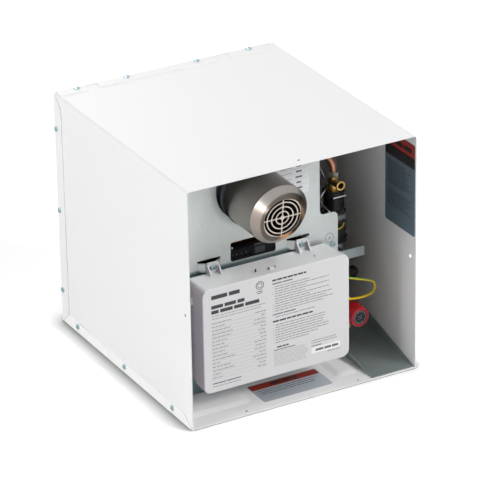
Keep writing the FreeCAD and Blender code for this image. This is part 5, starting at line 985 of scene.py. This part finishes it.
def back_threads():
    """Thread crests on the three fittings behind the case, one round ridge for each turn."""
    groups = []
    for x, radius, start, end, pitch in ((WATER_X, 10.65, 360.5, 377.5, 1.8),
                                         (58.0, 10.65, 360.5, 377.5, 1.8),
                                         (-112.0, 7.9, 357.0, 372.5, 1.6)):
        ridge = [(radius - 0.3, 0), (radius + 0.08, 0.15), (radius + 0.38, pitch * 0.42),
                 (radius + 0.08, pitch * 0.7), (radius - 0.3, pitch * 0.8)]
        groups += [lathe(ridge, at(x, depth, FITTING_HEIGHT), BACKWARD, brass, 36)
                   for depth in np.arange(start, end, pitch)]
    make_piece("back_threads", groups)


def relief_coil():
    """Spring of the relief valve: a wire carried along a helix, pressed by the stem's head.

    After t turns the wire's middle is (R cos 2 pi t, front + pitch t, R sin 2 pi t);
    the wire's round section lies in the plane of the way out and the axis.
    """
    share = np.linspace(0, 1, SPRING_TURNS * STEPS_IN_TURN + 1)[:, None]
    around = np.linspace(0, FULL_TURN, WIRE_STEPS + 1)[None, :]
    angle = share * SPRING_TURNS * FULL_TURN
    radius = SPRING_RADIUS + SPRING_WIRE * np.cos(around)
    depth = SPRING_FRONT + (SPRING_BACK - SPRING_FRONT) * share + SPRING_WIRE * np.sin(around)
    helix = np.stack([radius * np.cos(angle), depth, radius * np.sin(angle)], 2)
    vertices = at(WATER_X, 0, FITTING_HEIGHT) + MM * helix.reshape(-1, 3)
    faces = quads(len(share), WIRE_STEPS + 1)
    return make_piece("relief_coil", [(vertices, faces, bright_steel)], body=None)


make_piece("valve_gasket", [ring(15.0, 0.9, at(WATER_X, GASKET_DEPTH, GASKET_HEIGHT), UPWARD,
                                 black_rubber)])
back_threads()
coil = relief_coil()
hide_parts("relief_spring")
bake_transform(coil)


# ================================================================ leads
LEAD_STEPS = 16
DECIMETRES = 10          # in a metre


def route(name, points):
    """Centreline of a lead: a smooth spline drawn by the points, read back as a polyline."""
    curve = bpy.data.curves.new(name + "_route", "CURVE")
    curve.dimensions = "3D"
    curve.resolution_u = 16
    spline = curve.splines.new("NURBS")
    spline.points.add(len(points) - 1)
    for control, point in zip(spline.points, points):
        control.co = (*point, 1.0)
    spline.order_u = 3
    spline.use_endpoint_u = True
    holder = bpy.data.objects.new(name + "_route", curve)
    mesh = bpy.data.meshes.new_from_object(holder)
    line = np.array([vertex.co for vertex in mesh.vertices])
    bpy.data.objects.remove(holder)
    bpy.data.meshes.remove(mesh)
    return line


def lead(name, node, points, diameter, finish):
    """Round tube carried along a lead's centreline, its frame turned by the shortest way.

    The points are in metres, and so are diameter and length.  A ring stands square to
    the line at each of its points; u runs once round it, and v is the distance along
    the line in decimetres.
    """
    line = route(name, points)
    tangent = np.gradient(line, axis=0)
    tangent /= np.linalg.norm(tangent, axis=1)[:, None]
    side = np.cross(tangent[0], (0, 0, 1.0))
    sides = []
    for way in tangent:
        side = side - way * (side @ way)
        side = side / np.linalg.norm(side)
        sides.append(side)
    sides = np.array(sides)
    other = np.cross(tangent, sides)
    angle = np.linspace(0, FULL_TURN, LEAD_STEPS + 1)
    outwards = (np.cos(angle)[None, :, None] * sides[:, None, :]
                + np.sin(angle)[None, :, None] * other[:, None, :])
    tube = line[:, None, :] + (diameter / 2) * outwards
    around = LEAD_STEPS + 1
    last_ring = (len(line) - 1) * around
    ends = [line[0], line[-1]]
    caps = [[len(line) * around + end, start + step + 1, start + step]
            for end, start in ((0, 0), (1, last_ring)) for step in range(LEAD_STEPS)]
    mesh = bpy.data.meshes.new(name)
    mesh.from_pydata(np.concatenate([tube.reshape(-1, 3), ends]).tolist(), [],
                     quads(len(line), around).tolist() + caps)
    travelled = np.concatenate([[0], np.cumsum(np.linalg.norm(np.diff(line, axis=0), axis=1))])
    u = np.tile(angle / FULL_TURN, len(line))
    v = np.repeat(travelled * DECIMETRES, around)
    places = np.concatenate([np.stack([u, v], 1), [[0, 0], [0, v[-1]]]])
    layer = mesh.uv_layers.new(name=ROUTE_MAP)
    corner = np.zeros(len(mesh.loops), int)
    mesh.loops.foreach_get("vertex_index", corner)
    layer.data.foreach_set("uv", places[corner].ravel())
    mesh.materials.append(finish.material)
    tidy_mesh(mesh)
    mesh.polygons.foreach_set("use_smooth", [True] * len(mesh.polygons))
    made = bpy.data.objects.new(name, mesh)
    bpy.context.scene.collection.objects.link(made)
    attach(made, "case")
    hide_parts(node)


lead("earth_wire", "earth_lead",
     [at(BOX_RIGHT - 0.4, 59.0, 121.8), at(BOX_RIGHT + 12.6, 59.5, 121.0), at(105.0, 60.5, 114.3),
      at(127.0, 61.5, 106.2), at(137.3, 62.0, 101.0), at(137.6, 62.0, 88.0),
      at(125.0, 62.0, 83.6), at(108.0, 62.5, 83.9), at(94.5, 65.5, 86.0),
      at(87.5, 70.0, 87.7), at(84.5, PANEL_DEPTH, 88.0)],
     diameter=0.0028, finish=earth_sleeve)
lead("sensor_wire_yellow", "sensor_lead_yellow",
     [at(112.9, 96.2, 174.8), at(109.0, 92.6, 171.2), at(101.5, 91.0, 171.0),
      at(92.5, 87.0, 172.5), at(86.0, 81.5, 173.5), at(84.5, 76.2, 173.5)],
     diameter=0.0017, finish=yellow_sleeve)
lead("sensor_wire_red", "sensor_lead_red",
     [at(106.4, 96.9, 175.4), at(100.0, 97.0, 176.0), at(93.0, 93.0, 177.5),
      at(87.0, 86.5, 178.0), at(85.2, 81.0, 178.0), at(84.8, 76.2, 178.0)],
     diameter=0.0017, finish=red_sleeve)


# ================================================================ studio
CAMERA_PLACE = (-1.917387, -3.491176, 2.052484)
CAMERA_RIGHT = (0.87187124, -0.48946755, -0.01618839)
CAMERA_DOWN = (-0.22407167, -0.36930227, -0.90189119)
CAMERA_FORWARD = (0.43546806, 0.78996035, -0.43165983)
CAMERA_LENS = 262.626
CAMERA_SENSOR = 36.0
CAMERA_FAR = 60.0
LAMPS_FACE = (0, 0, 0.15)
ROOM_LIGHT = 0.08
WHITE = (1.0, 1.0, 1.0)
FLOOR_REACH = 2.6
FLOOR_LEVEL = -0.0005
FLOOR_WHITE_FROM, FLOOR_BLEND = 1100.0, 500.0      # millimetres from the middle
FLOOR_SHADE = (0.37, 0.37, 0.37)
FLOOR_LIT = (1.4, 1.4, 1.4)
CONTACT_REACH = 0.028


def add_camera():
    """Long lens, high on the left."""
    lens = bpy.data.cameras.new("camera")
    lens.sensor_width = CAMERA_SENSOR
    lens.lens = CAMERA_LENS
    lens.clip_end = CAMERA_FAR
    holder = bpy.data.objects.new("camera", lens)
    axes = Matrix((CAMERA_RIGHT, [-part for part in CAMERA_DOWN],
                   [-part for part in CAMERA_FORWARD])).transposed()
    holder.matrix_world = Matrix.Translation(CAMERA_PLACE) @ axes.to_4x4()
    bpy.context.scene.collection.objects.link(holder)
    bpy.context.scene.camera = holder


def add_lamp(name, place, size, power, mirrored=True, lights=True):
    """Square soft box turned towards the middle of the case.

    Metal shows it if mirrored; it lights matt surfaces if lights.
    """
    lamp = bpy.data.lights.new(name, "AREA")
    lamp.size = size
    lamp.energy = power
    holder = bpy.data.objects.new(name, lamp)
    holder.location = place
    holder.rotation_mode = "QUATERNION"
    holder.rotation_quaternion = (Vector(LAMPS_FACE) - Vector(place)).to_track_quat("-Z", "Y")
    holder.visible_glossy = mirrored
    holder.visible_diffuse = lights
    bpy.context.scene.collection.objects.link(holder)


def add_world(level):
    """Even white room: dim as a light, white where the camera, gloss or glass shows it."""
    world = bpy.data.worlds.new("room")
    world.use_nodes = True
    room = Nodes(world.node_tree)
    room.tree.nodes.clear()
    light = room.node("ShaderNodeBackground", None, {"Color": WHITE, "Strength": level})
    seen = room.node("ShaderNodeBackground", None, {"Color": WHITE, "Strength": 1.0})
    shown = room.rays("Is Camera Ray", "Is Glossy Ray", "Is Transmission Ray")
    mix = room.node("ShaderNodeMixShader", None, {0: shown, 1: light, 2: seen})
    out = room.tree.nodes.new("ShaderNodeOutputWorld")
    room.feed(out.inputs["Surface"], mix)
    bpy.context.scene.world = world


def add_floor():
    """Pale floor, white to the camera where it is lit, darker where something stands on it."""
    made = Finish("floor", (0.85, 0.85, 0.85), Roughness=0.9)
    grain = made.noise(2.0)
    made.set("Base Color", made.tone(grain, 0.004))
    settings, inputs = {"samples": 16}, {"Distance": CONTACT_REACH}
    open_sky = made.node("ShaderNodeAmbientOcclusion", settings, inputs, "AO")
    paint = made.mix((open_sky * 2 - 1).clamped(), FLOOR_SHADE, FLOOR_LIT)
    near = made.node("ShaderNodeBsdfDiffuse", None, {"Color": paint})
    x, y = made.axis("X"), made.axis("Y")
    far = (x * x + y * y).root().over(FLOOR_WHITE_FROM, FLOOR_BLEND)
    even = made.node("ShaderNodeEmission", None, {"Color": WHITE, "Strength": 1.0})
    seen = made.node("ShaderNodeMixShader", None, {0: far, 1: near, 2: even})
    plain = Number(made, made.shader.outputs["BSDF"])
    shown = made.node("ShaderNodeMixShader", None,
                      {0: made.rays("Is Camera Ray"), 1: plain, 2: seen})
    made.feed(made.tree.nodes["Material Output"].inputs["Surface"], shown)
    mesh = bpy.data.meshes.new("floor")
    corners = [(right * FLOOR_REACH, back * FLOOR_REACH, FLOOR_LEVEL)
               for right, back in ((-1, -1), (1, -1), (1, 1), (-1, 1))]
    mesh.from_pydata(corners, [], [(0, 1, 2, 3)])
    mesh.materials.append(made.material)
    holder = bpy.data.objects.new("floor", mesh)
    bpy.context.scene.collection.objects.link(holder)


add_camera()
add_world(ROOM_LIGHT)
add_floor()
add_lamp("overhead", place=(-0.1, 0.1, 2.6), size=2.4, power=18)
add_lamp("front_right", place=(1.9, -2.4, 1.9), size=1.6, power=84, mirrored=False)
add_lamp("left", place=(-3.0, 0.0, 1.2), size=1.6, power=57)
add_lamp("strip", place=(-2.53, -1.96, 1.12), size=0.8, power=22, lights=False)
add_lamp("behind", place=(0.6, 3.2, 1.7), size=1.6, power=28)
add_lamp("right", place=(3.0, 0.7, 1.3), size=1.6, power=15)
bpy.context.scene.view_settings.view_transform = "Standard"
